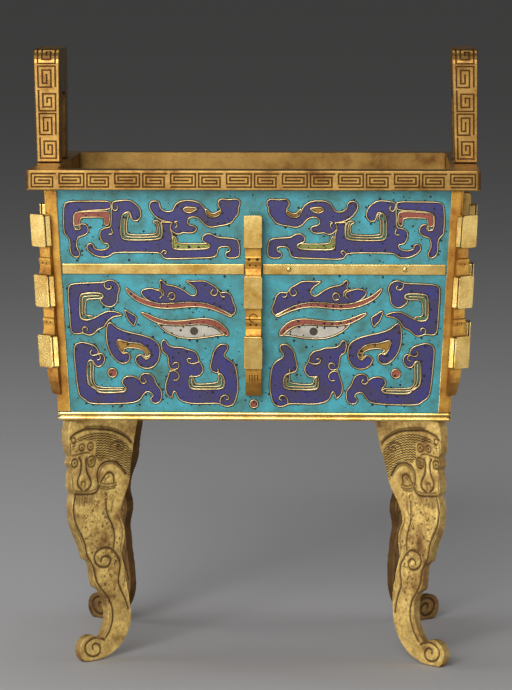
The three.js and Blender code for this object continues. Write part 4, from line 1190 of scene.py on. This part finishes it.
def flange_plate(size, has_tongue=False):
    """Notched flange in its own place: x out from the wall, y up from its foot, z across it."""
    projection, half = size["projection"], size["block"] / 2
    edge = plate_edge(projection, has_tongue)
    core = bmesh.new()
    prism(core, [(-size["root"], edge[0][1]), *edge, (-size["root"], edge[-1][1])],
          -size["neck"] / 2, size["neck"] / 2)
    for vert in core.verts:
        share = vert.co.x / (projection - BLOCK_STEP)
        vert.co.z *= (size["at_wall"] + (size["neck"] - size["at_wall"]) * share) / size["neck"]
    round_edges(core, lambda e: is_sharp(e) and max(v.co.x for v in e.verts) > 0, 0.2, 2)
    blocks = bmesh.new()
    line = projection - CAP_THICK
    for top in BLOCK_TOPS:
        bottom = top - BLOCK_HEIGHT
        for low, high in ((projection - BLOCK_DEPTH, line - CAP_LINE), (line, projection)):
            prism(blocks, [(low, bottom), (high, bottom), (high, top), (low, top)], -half, half)
        low, high, bottom, top = line - CAP_LINE - 0.1, line + 0.1, bottom + 0.35, top - 0.35
        prism(core, [(low, bottom), (high, bottom), (high, top), (low, top)],
              0.35 - half, half - 0.35)
    round_edges(blocks, lambda e: abs(e.verts[0].co.x - e.verts[1].co.x) > 0.1, 0.55, 3)
    round_edges(blocks, is_sharp, 0.15)
    return combined(core, blocks, "UNION")


def recess_cuts(neck, on_corner):
    """Chasing in the recesses: eyes, a ring and nostrils, on a corner only the nostrils."""
    cuts = bmesh.new()
    recess, second, tail = (top - BLOCK_HEIGHT for top in BLOCK_TOPS)
    for x, height, radius, depth in (
            (-1.45, recess - 3.9, 0.55, 0.5), (1.45, recess - 3.9, 0.55, 0.5),
            (-1.1, recess - 5.9, 0.4, 0.3), (0.9, recess - 6.1, 0.3, 0.3),
            (-1.0, second - 5.6, 0.35, 0.3), (1.0, second - 5.6, 0.35, 0.3)):
        if on_corner and radius < 0.5:
            prism(cuts, circle(x, height + 0.4, 0.28, 8), neck - 0.05, neck + 2)
        elif not on_corner:
            prism(cuts, circle(x, height, radius, 10), neck - depth, neck + 2)
    if not on_corner:
        ring = circle(0, second - 3.3, 1.35, 16)
        prism(cuts, stroke(ring[:13], 0.35), neck - 0.3, neck + 2)
        for x in (-1.35, -0.45, 0.45, 1.35):
            prism(cuts, stroke([(x, tail - 2.2), (x, tail - 5.6)], 0.3), neck - 0.5, neck + 2)
    turn = Matrix(((0, 0, 1, 0), (0, 1, 0, 0), (-1, 0, 0, 0), (0, 0, 0, 1)))
    bmesh.ops.transform(cuts, matrix=turn, verts=cuts.verts)
    return cuts


def lean_out(bm, share):
    """Shears a flange with the flare of the wall that it stands on."""
    for vert in bm.verts:
        vert.co.x += vert.co.y * FLARE * share


def walled_space():
    """The box of the censer grown by the gap that the pieces keep from it."""
    space = bmesh.new()
    half_x, half_y = (FOOT_HALF[axis] + WALL_GAP for axis in ("x", "y"))
    corners = prism(space, [(-half_x, -half_y), (half_x, -half_y), (half_x, half_y),
                            (-half_x, half_y)], -20, BODY_HEIGHT + 20)
    for vert in corners:
        vert.co.x += math.copysign(1, vert.co.x) * vert.co.z * FLARE
        vert.co.y += math.copysign(1, vert.co.y) * vert.co.z * FLARE
        vert.co.z += BODY_FOOT
    return space


def mark_flange(mesh, foot, out, size, share):
    """Gives blocks the burnished finish and the rest the tarnished one, and darkens the lines."""
    across = out.cross(UP)
    hollow = mesh.attributes.new("hollow", "FLOAT", "FACE")
    projection, thickness = size["projection"], size["neck"]
    line = projection - CAP_THICK - CAP_LINE / 2
    for polygon in mesh.polygons:
        place = polygon.center * 1000 - foot
        height = place.z
        distance = place.dot(out) - height * FLARE * share
        beside = abs(place.dot(across))
        in_block = any(top - BLOCK_HEIGHT < height + 0.01 and height < top + 0.01
                       for top in BLOCK_TOPS)
        is_side = abs(polygon.normal.dot(across)) > 0.75 and beside > thickness / 2
        is_end = abs(polygon.normal.z) > 0.75 and distance > 1.6
        is_block = in_block and (is_side or is_end or distance > projection - BLOCK_STEP + 0.9)
        polygon.material_index = 0 if is_block else 1
        is_under_cap = abs(polygon.normal.dot(out)) > 0.7 and distance < projection - 0.1
        # The fine line between a cap and its block is painted nearly black: patina and painted shadow.
        if is_block and abs(distance - line) < CAP_LINE * 0.8 and (
                is_under_cap or abs(distance - line) < 0.1):
            hollow.data[polygon.index].value = 0.95
        elif not is_block and height < TAIL_END + 5 and distance > 1.2:
            hollow.data[polygon.index].value = 0.45


class CENSER_OT_centre_flanges(bpy.types.Operator):
    """Makes the notched flange in the middle of each wall"""
    bl_idname = "censer.centre_flanges"
    bl_label = "Make the centre flanges"

    def execute(self, context):
        for side, out in WALLS.items():
            foot = out * wall_of(side)[0].translation.dot(out) + UP * BODY_FOOT
            plate = flange_plate(CENTRE, has_tongue=out.y == 0)
            plate = combined(plate, recess_cuts(CENTRE["projection"] - BLOCK_STEP, False),
                             "DIFFERENCE")
            lean_out(plate, 1)
            bmesh.ops.transform(plate, matrix=facing(foot, out, UP), verts=plate.verts)
            plate = combined(plate, walled_space(), "DIFFERENCE")
            mesh = to_mesh(plate, "flange_" + side)
            mark_flange(mesh, foot, out, CENTRE, 1)
            settle("flange_" + side, mesh, ["burnished_gilding", "tarnished_gilding"],
                   "bright_gilt", ["centre_flange_" + side])
        return {"FINISHED"}


class CENSER_OT_corner_flanges(bpy.types.Operator):
    """Makes the corner posts, each with its notched flange on the diagonal"""
    bl_idname = "censer.corner_flanges"
    bl_label = "Make the corner flanges"

    def execute(self, context):
        proud = WALL_GAP + POST_PROUD
        for name, sx, sy in (("front_left", -1, -1), ("front_right", 1, -1),
                             ("back_left", -1, 1), ("back_right", 1, 1)):
            out = Vector((sx, sy, 0)).normalized()
            foot = Vector((sx * FOOT_HALF["x"], sy * FOOT_HALF["y"], BODY_FOOT))
            post = bmesh.new()
            corners = prism(post, [(-POST_WIDTH, WALL_GAP), (WALL_GAP, WALL_GAP),
                                   (WALL_GAP, -POST_WIDTH), (proud, -POST_WIDTH),
                                   (proud, proud), (-POST_WIDTH, proud)], POST_LOW, BODY_HEIGHT)
            for low, amount in ((-POST_WIDTH - 1, 0.2), (WALL_GAP + 0.1, 0.75)):
                round_edges(post, lambda e: is_sharp(e) and e.verts[0].co.z != e.verts[1].co.z
                            and low < min(e.verts[0].co.xy) < low + 1.5
                            and max(e.verts[0].co.xy) > WALL_GAP + 0.1, amount, 3)
            for vert in post.verts:
                vert.co.x = sx * (vert.co.x + vert.co.z * FLARE)
                vert.co.y = sy * (vert.co.y + vert.co.z * FLARE)
                vert.co += foot
            plate = flange_plate(CORNER)
            plate = combined(plate, recess_cuts(CORNER["projection"] - BLOCK_STEP, True),
                             "DIFFERENCE")
            lean_out(plate, math.sqrt(2))
            bmesh.ops.transform(plate, matrix=facing(foot, out, UP), verts=plate.verts)
            plate = combined(plate, walled_space(), "DIFFERENCE")
            mesh = to_mesh(combined(post, plate, "UNION"), "corner_" + name)
            mark_flange(mesh, foot, out, CORNER, math.sqrt(2))
            settle("corner_" + name, mesh, ["burnished_gilding", "tarnished_gilding"],
                   "bright_gilt", ["corner_flange_" + name])
        return {"FINISHED"}


LEG_OUTER = [
    (3.4, 84.65), (2.6, 80.8), (2.4, 77.5), (3.1, 73.6), (4.5, 72), (3.4, 70.4), (3.6, 69), (5, 67.7),
    (3.8, 66), (4, 60.5), (5.4, 58.8), (4.2, 56.9), (4.5, 49.1), (6.3, 45.3), (8.8, 40.6), (9.9,
    36.5), (10.3, 35.9), (12.1, 35.1), (12.9, 33.9), (13.5, 31), (13.9, 27.5), (14.1, 26.1), (14.5,
    25.6), (16.3, 24.8), (17.1, 23.6), (18.2, 20.9), (18.7, 17.6), (18.2, 13.5), (15.9, 9.7)]
LEG_INNER = [
    (15.1, 0.3), (20, 1.8), (24.9, 5.2), (28, 10.7), (29, 16), (28.6, 24), (27.8, 31), (26.7, 35),
    (26.8, 38.1), (28, 41.5), (27.9, 45.3), (25.9, 49), (26.6, 54), (28.8, 58), (30.3, 61.5), (30.6,
    66.9), (31.8, 73.5), (33.4, 80), (34, 84.65)]
DEEP_LINES = [
    [(3.6, 78.3), (4.7, 79.5), (7.6, 80.4), (10.5, 81.1), (13.3, 80.8), (19.1, 80.2), (22.9, 79.4),
     (26.1, 78), (29, 76.6), (31.2, 74.4)],
    [(16.1, 61.8), (15.5, 64.1), (15.8, 66.3), (17.3, 68.1), (19.6, 69), (22.5, 68.8), (24.9, 67.8),
     (26.6, 66.3), (28.5, 64)],
    [(17.3, 62), (18.7, 63.8), (20.2, 65.1), (21.9, 65), (23.1, 63.8), (23.2, 61.7)],
    [(5.4, 59), (8.6, 58.6), (13.8, 58.1), (15.8, 59.2), (16.7, 60.9)],
    [(7.5, 71.4), (8.4, 70.1), (8.4, 68.3), (8.3, 66.6), (7.5, 64.9), (6.6, 63.3), (7.1, 61.4),
     (8.6, 60.2)],
    [(11, 71.1), (10.4, 69.9), (10.7, 67.7), (10.9, 65.9), (12.1, 64.2), (13, 62.6), (12.6, 61.1),
     (11.5, 60.1), (10.3, 59.8)],
    [(5.7, 58.5), (5.1, 55.5), (4.8, 53.3), (4.8, 53.7), (5.4, 49.7), (6.8, 46.9), (8.8, 44), (10.2,
     41), (10.6, 37.6), (12.5, 34.9), (14.2, 32.1), (14.7, 28.9), (15.9, 25.9), (18.8, 22.6), (20,
     20.2), (20.7, 17.3), (20.4, 14.3), (19.7, 12), (18.4, 9.5), (16.8, 7.7)],
    [(19.5, 54.8), (19.6, 52.1), (20.4, 49.8), (22, 47.4), (23.3, 44.3), (23.5, 41.2), (22.9,
     38.7)],
    [(27.7, 16.4), (27.1, 19.8), (25.5, 23.6), (24.6, 26.6), (25.8, 30.2), (26.1, 32.9), (25, 35.2),
     (22.9, 37.7), (20.3, 39.1), (17.1, 39), (14.8, 37.8), (14, 35.6), (15.1, 33.5), (17.7, 32.2),
     (20.3, 32.2), (21.7, 33.6), (21.5, 35.4), (19.4, 36.2), (17.5, 35.7), (17.2, 34.4)],
    [(16, 6.8), (13.4, 8), (10.8, 8.1), (8.2, 7.1), (6.9, 5.3), (7.9, 2.9), (10.2, 1.6), (12.8,
     1.6), (14.4, 3), (13.9, 5.1), (12.1, 6.2), (10.5, 5.6), (10.8, 4.3)],
]
FINE_LINES = [
    [(9.9, 81.7), (13.9, 81.7), (19.1, 81), (23.5, 80), (26.4, 78.5), (29.3, 76.9), (31.3, 75)],
    [(16.8, 62.2), (16.3, 64.2), (16.8, 66.2), (18.2, 67.6), (20.5, 68.3), (22.8, 68), (24.9, 66.9),
     (26.6, 65.4), (28.1, 63.6)],
    [(19, 62.1), (19.9, 63.2), (21, 63.7)],
    [(17.3, 61.7), (20.4, 60.8), (24.2, 61.2)],
    [(16.5, 60.8), (20.2, 59.8), (24.4, 60.2)],
    [(15.5, 60.7), (17.2, 59.7), (20.1, 59.1), (23.5, 59.5)],
    [(5.7, 60), (8.6, 59.6), (13.2, 59.3), (15.5, 59.9), (16.1, 61.2)],
    [(3.8, 72.3), (5.5, 72.2), (8.7, 72.9), (11.3, 72.9), (12.3, 72.4)],
    [(8.3, 61.1), (8.3, 62.6), (9.2, 63.2), (10.3, 62.7), (10, 60.9)],
    [(21.4, 71.9), (21.4, 74.3), (22.9, 75.5), (25.2, 75.5), (27.2, 74.7), (28, 73.3), (26.8, 72.1),
     (24.9, 72.6), (24.2, 73.6), (25.2, 74.1), (26.4, 73.4)],
    [(11.5, 69.5), (12.5, 70.2), (13.6, 70.5), (14.5, 69.6), (13.3, 68.6), (11.8, 68.9)],
    [(22.9, 55.8), (22.3, 53.2), (21.8, 51.2)],
    [(4.1, 57.1), (3.9, 52.7), (4.5, 49.3), (5.9, 46.5), (8.2, 43.4), (9.3, 40), (9.7, 37.7), (11.7,
     34.8), (13, 32.2), (13.4, 29), (14.1, 26.3), (16.7, 23.5), (18.5, 21.3)],
    [(18.1, 51.6), (19.8, 49.6), (21.8, 47.6)],
    [(24.8, 49.7), (26.9, 45.3), (27.2, 42.1), (26.3, 39.1), (26.2, 36.9), (27.6, 34.5)],
    [(28.5, 32.1), (28.2, 28.1), (27.1, 24.9)],
    [(3.4, 76.7), (3.6, 74.1), (3.4, 72.4)],
    [(3.8, 67.1), (4.3, 64.4), (4.6, 61.7), (4.9, 59.9)],
]

LEG_HEIGHT = 84.65
LEG_REACH = 34.0
# The corner that the legs' outlines are measured in from
LEG_CORNER = (66.15, 48.85)
LEG_INSET = 3.4
LEG_THICK = {"top": 3.8, "foot": 2.8}
DISC = (9.61, 4.51, 4.75)
DISC_FLAT = 3.0
# Each leg: which corner, how far it leans out, how far its scroll is bent out besides, and how
# much slimmer its waist is
LEGS = {
    "front_left": (-1, -1, 0, -2.7, 0),
    "front_right": (1, -1, 4.6, 0, 4),
    "back_left": (-1, 1, 3, -2.3, 0),
    "back_right": (1, 1, 1.8, 0, 1),
}
# Rings of the beads, the eyes and their pits: x, height, radius and width of the line
LEG_RINGS = [(8.7, 74.8, 1.2, 0.6), (12.6, 74.8, 1.35, 0.6), (5.4, 69.7, 1.4, 0.8),
             (13.0, 69.6, 1.85, 0.7), (4.9, 77.6, 0.9, 0.5)]
LEG_PITS = [(8.7, 74.8, 0.45), (12.6, 74.8, 0.5), (5.4, 69.7, 0.5), (12.8, 69.6, 0.55),
            (6.2, 73.7, 0.35), (15.0, 71.2, 0.35)]


def leg_outline():
    """Outline of the pattern leg: x inwards from the corner, y up from the ground."""
    x, z, radius = DISC
    start, finish = math.radians(150), math.asin(DISC_FLAT / 2 / radius) - math.pi / 2
    disc = [(x - radius * math.cos(start + (finish - start) * i / 16),
             z + radius * math.sin(start + (finish - start) * i / 16)) for i in range(17)]
    return LEG_OUTER, disc, LEG_INNER


def smooth_share(values, low, high):
    """How far the values have gone from the low to the high one, starting and ending softly."""
    share = np.clip((values - low) / (high - low), 0, 1)
    return share * share * (3 - 2 * share)


def away_from(x, z, line):
    """Distance of every point from a line drawn through the given points."""
    best = np.full(x.shape, 1e3)
    for (ax, az), (bx, bz) in zip(line, line[1:]):
        dx, dz = bx - ax, bz - az
        share = np.clip(((x - ax) * dx + (z - az) * dz) / (dx * dx + dz * dz), 0, 1)
        best = np.minimum(best, np.hypot(x - ax - share * dx, z - az - share * dz))
    return best


# Head of the beast where the hair is chased, and the shank with its casting pits
HAIR_FIELD = [(3.8, 72.9), (4.2, 76.9), (9, 79.2), (14, 79.9), (20, 79.2), (25, 77.3), (29, 74.7),
              (31.8, 71), (31.6, 65), (29.4, 61.4), (27.6, 65.2), (25, 67.4), (22, 69.4), (16, 69.2),
              (14.4, 71.2), (14.4, 76.2), (10.6, 76.8), (6.6, 76.6)]
SHANK = [(6, 57), (27.0, 62), (26, 56), (21, 51), (22, 47), (25.5, 44), (26.5, 40), (24.5, 30),
         (22, 20), (19, 12), (15, 33), (10.4, 41), (8, 45), (6, 50)]


def pits():
    """Small casting pits and punch marks strewn over the shank."""
    scatter = random.Random(5)
    dots = []
    while len(dots) < 230:
        x, z = scatter.uniform(4, 28), scatter.uniform(8, 60)
        if inside(x, z, SHANK):
            dots.append((x, z, scatter.uniform(0.16, 0.3) + 0.2 * (scatter.random() < 0.15)))
    return dots


def beard():
    """Short upright strokes below the mouth."""
    return [[(x, 57.9), (x + 0.1, 55.6 - 0.5 * (i % 3))]
            for i, x in enumerate(6.1 + 0.72 * step for step in range(12))]


def field_mask(x, z, outline):
    """One within an outline and nothing outside it, with a soft edge."""
    away = away_from(x, z, outline + outline[:1])
    return np.where(inside(x, z, outline), np.clip(away / 0.5, 0, 1), 0)


def carved(x, z):
    """Depth of the carving at every point of the leg's face, as a share, and how dark it is."""
    depth = np.zeros(x.shape)
    dark = np.zeros(x.shape)
    groups = [(0.95, 1.0, [softened(line, closed=False) for line in DEEP_LINES]),
              (0.6, 0.7, [softened(line, closed=False) for line in FINE_LINES]),
              (0.46, 0.7, beard())]
    for cx, cz, radius, width in LEG_RINGS:
        ring = circle(cx, cz, radius, 16)
        groups.append((width, 0.9, [ring + ring[:1]]))
    for width, share, lines in groups:
        for line in lines:
            xs, zs = [point[0] for point in line], [point[1] for point in line]
            near = ((x > min(xs) - 2) & (x < max(xs) + 2) & (z > min(zs) - 2) & (z < max(zs) + 2))
            away = away_from(x[near], z[near], line)
            cut = np.sqrt(np.clip(1 - (away / (width / 2)) ** 2, 0, 1))
            shoulder = 0.3 * np.exp(-(away / 0.9) ** 2)
            depth[near] = np.maximum(depth[near], share * np.maximum(cut, shoulder))
            dark[near] = np.maximum(dark[near], share * np.clip(1.25 - away / (width / 2), 0, 1))
    for cx, cz, radius in LEG_PITS + pits():
        near = (np.abs(x - cx) < 1) & (np.abs(z - cz) < 1)
        away = np.hypot(x[near] - cx, z[near] - cz)
        cut = np.clip(1 - (away / radius) ** 2, 0, 1)
        depth[near] = np.maximum(depth[near], 0.8 * cut)
        dark[near] = np.maximum(dark[near], np.clip(1.3 - away / radius, 0, 0.9))
    # Wavy rows of hair: the finish darkens the same rows
    row = (z + 0.02 * (x - 14.5) ** 2 + 0.16 * np.sin(3.9 * x)) / 0.85
    hair = np.clip(1 - np.abs(row - np.round(row)) / 0.34, 0, 1) * field_mask(x, z, HAIR_FIELD)
    return np.maximum(depth, 0.4 * hair), dark


def pattern_leg(depth_mm, voxel):
    """Carved pattern leg, flat along X and Z: its vertices, its faces and its patina."""
    outer, disc, inner = leg_outline()
    outline = softened(outer, closed=False) + disc + softened(inner, closed=False)
    blank = bmesh.new()
    prism(blank, outline, -LEG_THICK["top"] / 2, LEG_THICK["top"] / 2)
    bmesh.ops.recalc_face_normals(blank, faces=blank.faces)
    mesh = bpy.data.meshes.new("blank_leg")
    blank.to_mesh(mesh)
    blank.free()
    thing = temporary("blank_leg", mesh)
    remesh = thing.modifiers.new("remesh", "REMESH")
    remesh.mode = "VOXEL"
    remesh.voxel_size = voxel
    mesh = applied(thing)
    place = np.empty(len(mesh.vertices) * 3)
    mesh.vertices.foreach_get("co", place)
    place = place.reshape(-1, 3)
    half = LEG_THICK["top"] / 2
    depth, dark = carved(place[:, 0], place[:, 1])
    on_face = np.clip((np.abs(place[:, 2]) - half + 0.3) / 0.25, 0, 1)
    place[:, 2] -= np.sign(place[:, 2]) * depth * on_face * depth_mm
    mesh.vertices.foreach_set("co", place.reshape(-1))
    patina = mesh.attributes.new("hollow", "FLOAT", "POINT")
    # The cut edge of the plate is duller than its faces
    patina.data.foreach_set("value", np.maximum(dark * on_face * 0.97, (1 - on_face) * 0.5))
    # Where a point lies on the pattern, and how much of the fine hair is chased there
    drawn = mesh.attributes.new("drawn", "FLOAT_VECTOR", "POINT")
    place[:, 2] = on_face * field_mask(place[:, 0], place[:, 1], HAIR_FIELD)
    drawn.data.foreach_set("vector", place.reshape(-1))
    return mesh


class CENSER_OT_legs(bpy.types.Operator):
    """Makes the four plate legs, cut as a beast's head over a scrolled foot, and carves them"""
    bl_idname = "censer.legs"
    bl_label = "Make the legs"

    def execute(self, context):
        sizes = context.scene.censer_sizes
        pattern = pattern_leg(sizes.carving * 1000, 0.27)
        for name, (sx, sy, lean, bend, slim) in LEGS.items():
            mesh = pattern.copy()
            mesh.name = "beast_leg_" + name
            place = np.empty(len(mesh.vertices) * 3)
            mesh.vertices.foreach_get("co", place)
            x, z, y = place.reshape(-1, 3).T
            z = np.clip(np.where(z < 0.12, 0, z), 0, LEG_HEIGHT)
            height = z / LEG_HEIGHT
            waist = np.clip(1 - np.abs(height - 0.57) / 0.3, 0, 1)
            inward = smooth_share((x - LEG_INSET) / (LEG_REACH - LEG_INSET), 0.35, 0.74)
            bent = 1 - smooth_share(height, 0.1, 0.36)
            outwards = -x + lean * (1 - height) + bend * bent + slim * waist * inward
            across = y * (1 - (1 - LEG_THICK["foot"] / LEG_THICK["top"]) * (1 - height))
            out = Vector((sx, sy, 0)).normalized()
            side = UP.cross(out)
            stood = np.stack([sx * LEG_CORNER[0] + out.x * outwards + side.x * across,
                              sy * LEG_CORNER[1] + out.y * outwards + side.y * across, z], axis=1)
            mesh.vertices.foreach_set("co", (stood / 1000).reshape(-1))
            # The back legs take the darker copy of the chased gilding, which is painted shade.
            material = "chased_gilding" if sy < 0 else "dark_chased_gilding"
            settle(mesh.name, mesh, [material], "engraved_gilt", ["leg_" + name])
        bpy.data.meshes.remove(pattern)
        return {"FINISHED"}


class CENSER_OT_studio(bpy.types.Operator):
    """Sets up the pale floor, the soft lights and the camera at the photograph's angle"""
    bl_idname = "censer.studio"
    bl_label = "Set up the studio"

    def execute(self, context):
        scene = context.scene
        bm = bmesh.new()
        bmesh.ops.create_grid(bm, x_segments=4, y_segments=4, size=20)
        mesh = bpy.data.meshes.new("studio_floor")
        bm.to_mesh(mesh)
        bm.free()
        mesh.materials.append(studio_floor(list(scene.censer_colours.floor)))
        floor = bpy.data.objects.new("studio_floor", mesh)
        scene.collection.objects.link(floor)
        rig.stage(floor)

        world = bpy.data.worlds.new("studio")
        world.use_nodes = True
        world.node_tree.nodes.clear()
        glow = add_node(world.node_tree, "Background", {"Color": (1, 0.985, 0.96, 1), "Strength": 0.07})
        add_node(world.node_tree, "OutputWorld", links={"Surface": glow})
        scene.world = world
        scene.view_settings.view_transform = "Standard"

        aim = Vector((0, 0, 0.12))
        for name, place, wide, high, power in (
                ("key", (-0.45, -1.9, 0.85), 1.1, 1.1, 26),
                ("front_card", (-0.19, -1.1, 0.08), 0.52, 0.15, 0.34),
                ("low_left", (-0.42, -0.2, 0.03), 0.3, 0.05, 0.3),
                ("low_right", (0.46, -0.22, 0.03), 0.3, 0.05, 0.2),
                ("left", (-0.75, 0.02, 0.3), 0.6, 0.6, 1.4),
                ("right", (0.8, -0.06, 0.3), 0.6, 0.6, 0.9),
                ("top", (-0.1, 0.1, 1.5), 0.6, 0.6, 2.5)):
            light = bpy.data.lights.new(name, "AREA")
            light.shape = "RECTANGLE"
            light.size = wide
            light.size_y = high
            light.energy = power
            lamp = bpy.data.objects.new(name, light)
            lamp.location = place
            target = aim if place[2] > 0.05 else Vector((0, 0, 0.02))
            lamp.rotation_euler = (target - lamp.location).to_track_quat("-Z", "Y").to_euler()
            scene.collection.objects.link(lamp)

        view = bpy.data.cameras.new("camera")
        view.sensor_width = 36
        view.lens = 3603 * 36 / 690
        view.clip_start = 0.1
        view.clip_end = 60
        camera = bpy.data.objects.new("camera", view)
        camera.location = (0.0394, -1.2599, 0.2432)
        pitch, yaw = math.radians(6.24), math.radians(1.83)
        heading = Vector((-math.sin(yaw) * math.cos(pitch), math.cos(yaw) * math.cos(pitch),
                          -math.sin(pitch)))
        camera.rotation_euler = heading.to_track_quat("-Z", "Y").to_euler()
        scene.collection.objects.link(camera)
        scene.camera = camera
        return {"FINISHED"}


OPERATORS = [value for name, value in list(globals().items()) if name.startswith("CENSER_OT_")]


class CENSER_PT_panel(bpy.types.Panel):
    """Lists the sizes and colours of the censer and the steps that make it"""
    bl_label = "Cloisonne incense burner"
    bl_idname = "CENSER_PT_panel"
    bl_space_type = "VIEW_3D"
    bl_region_type = "UI"
    bl_category = "Censer"

    def draw(self, context):
        for group in (context.scene.censer_sizes, context.scene.censer_colours):
            for name in group.__annotations__:
                self.layout.prop(group, name)
        for operator in OPERATORS:
            self.layout.operator(operator.bl_idname)


CLASSES = [CENSER_sizes, CENSER_colours, *OPERATORS, CENSER_PT_panel]


def register():
    for item in CLASSES:
        bpy.utils.register_class(item)
    bpy.types.Scene.censer_sizes = PointerProperty(type=CENSER_sizes)
    bpy.types.Scene.censer_colours = PointerProperty(type=CENSER_colours)


def unregister():
    del bpy.types.Scene.censer_colours
    del bpy.types.Scene.censer_sizes
    for item in reversed(CLASSES):
        bpy.utils.unregister_class(item)


def plain(box):
    return [list(corner) for corner in box]


def main():
    register()
    for operator in OPERATORS:
        group, name = operator.bl_idname.split(".")
        getattr(getattr(bpy.ops, group), name)()
    with open("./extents.json", "w") as out:
        json.dump({"cad": plain(cad_box), "visual": plain(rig.bounds())}, out)


if __name__ == "__main__":
    main()
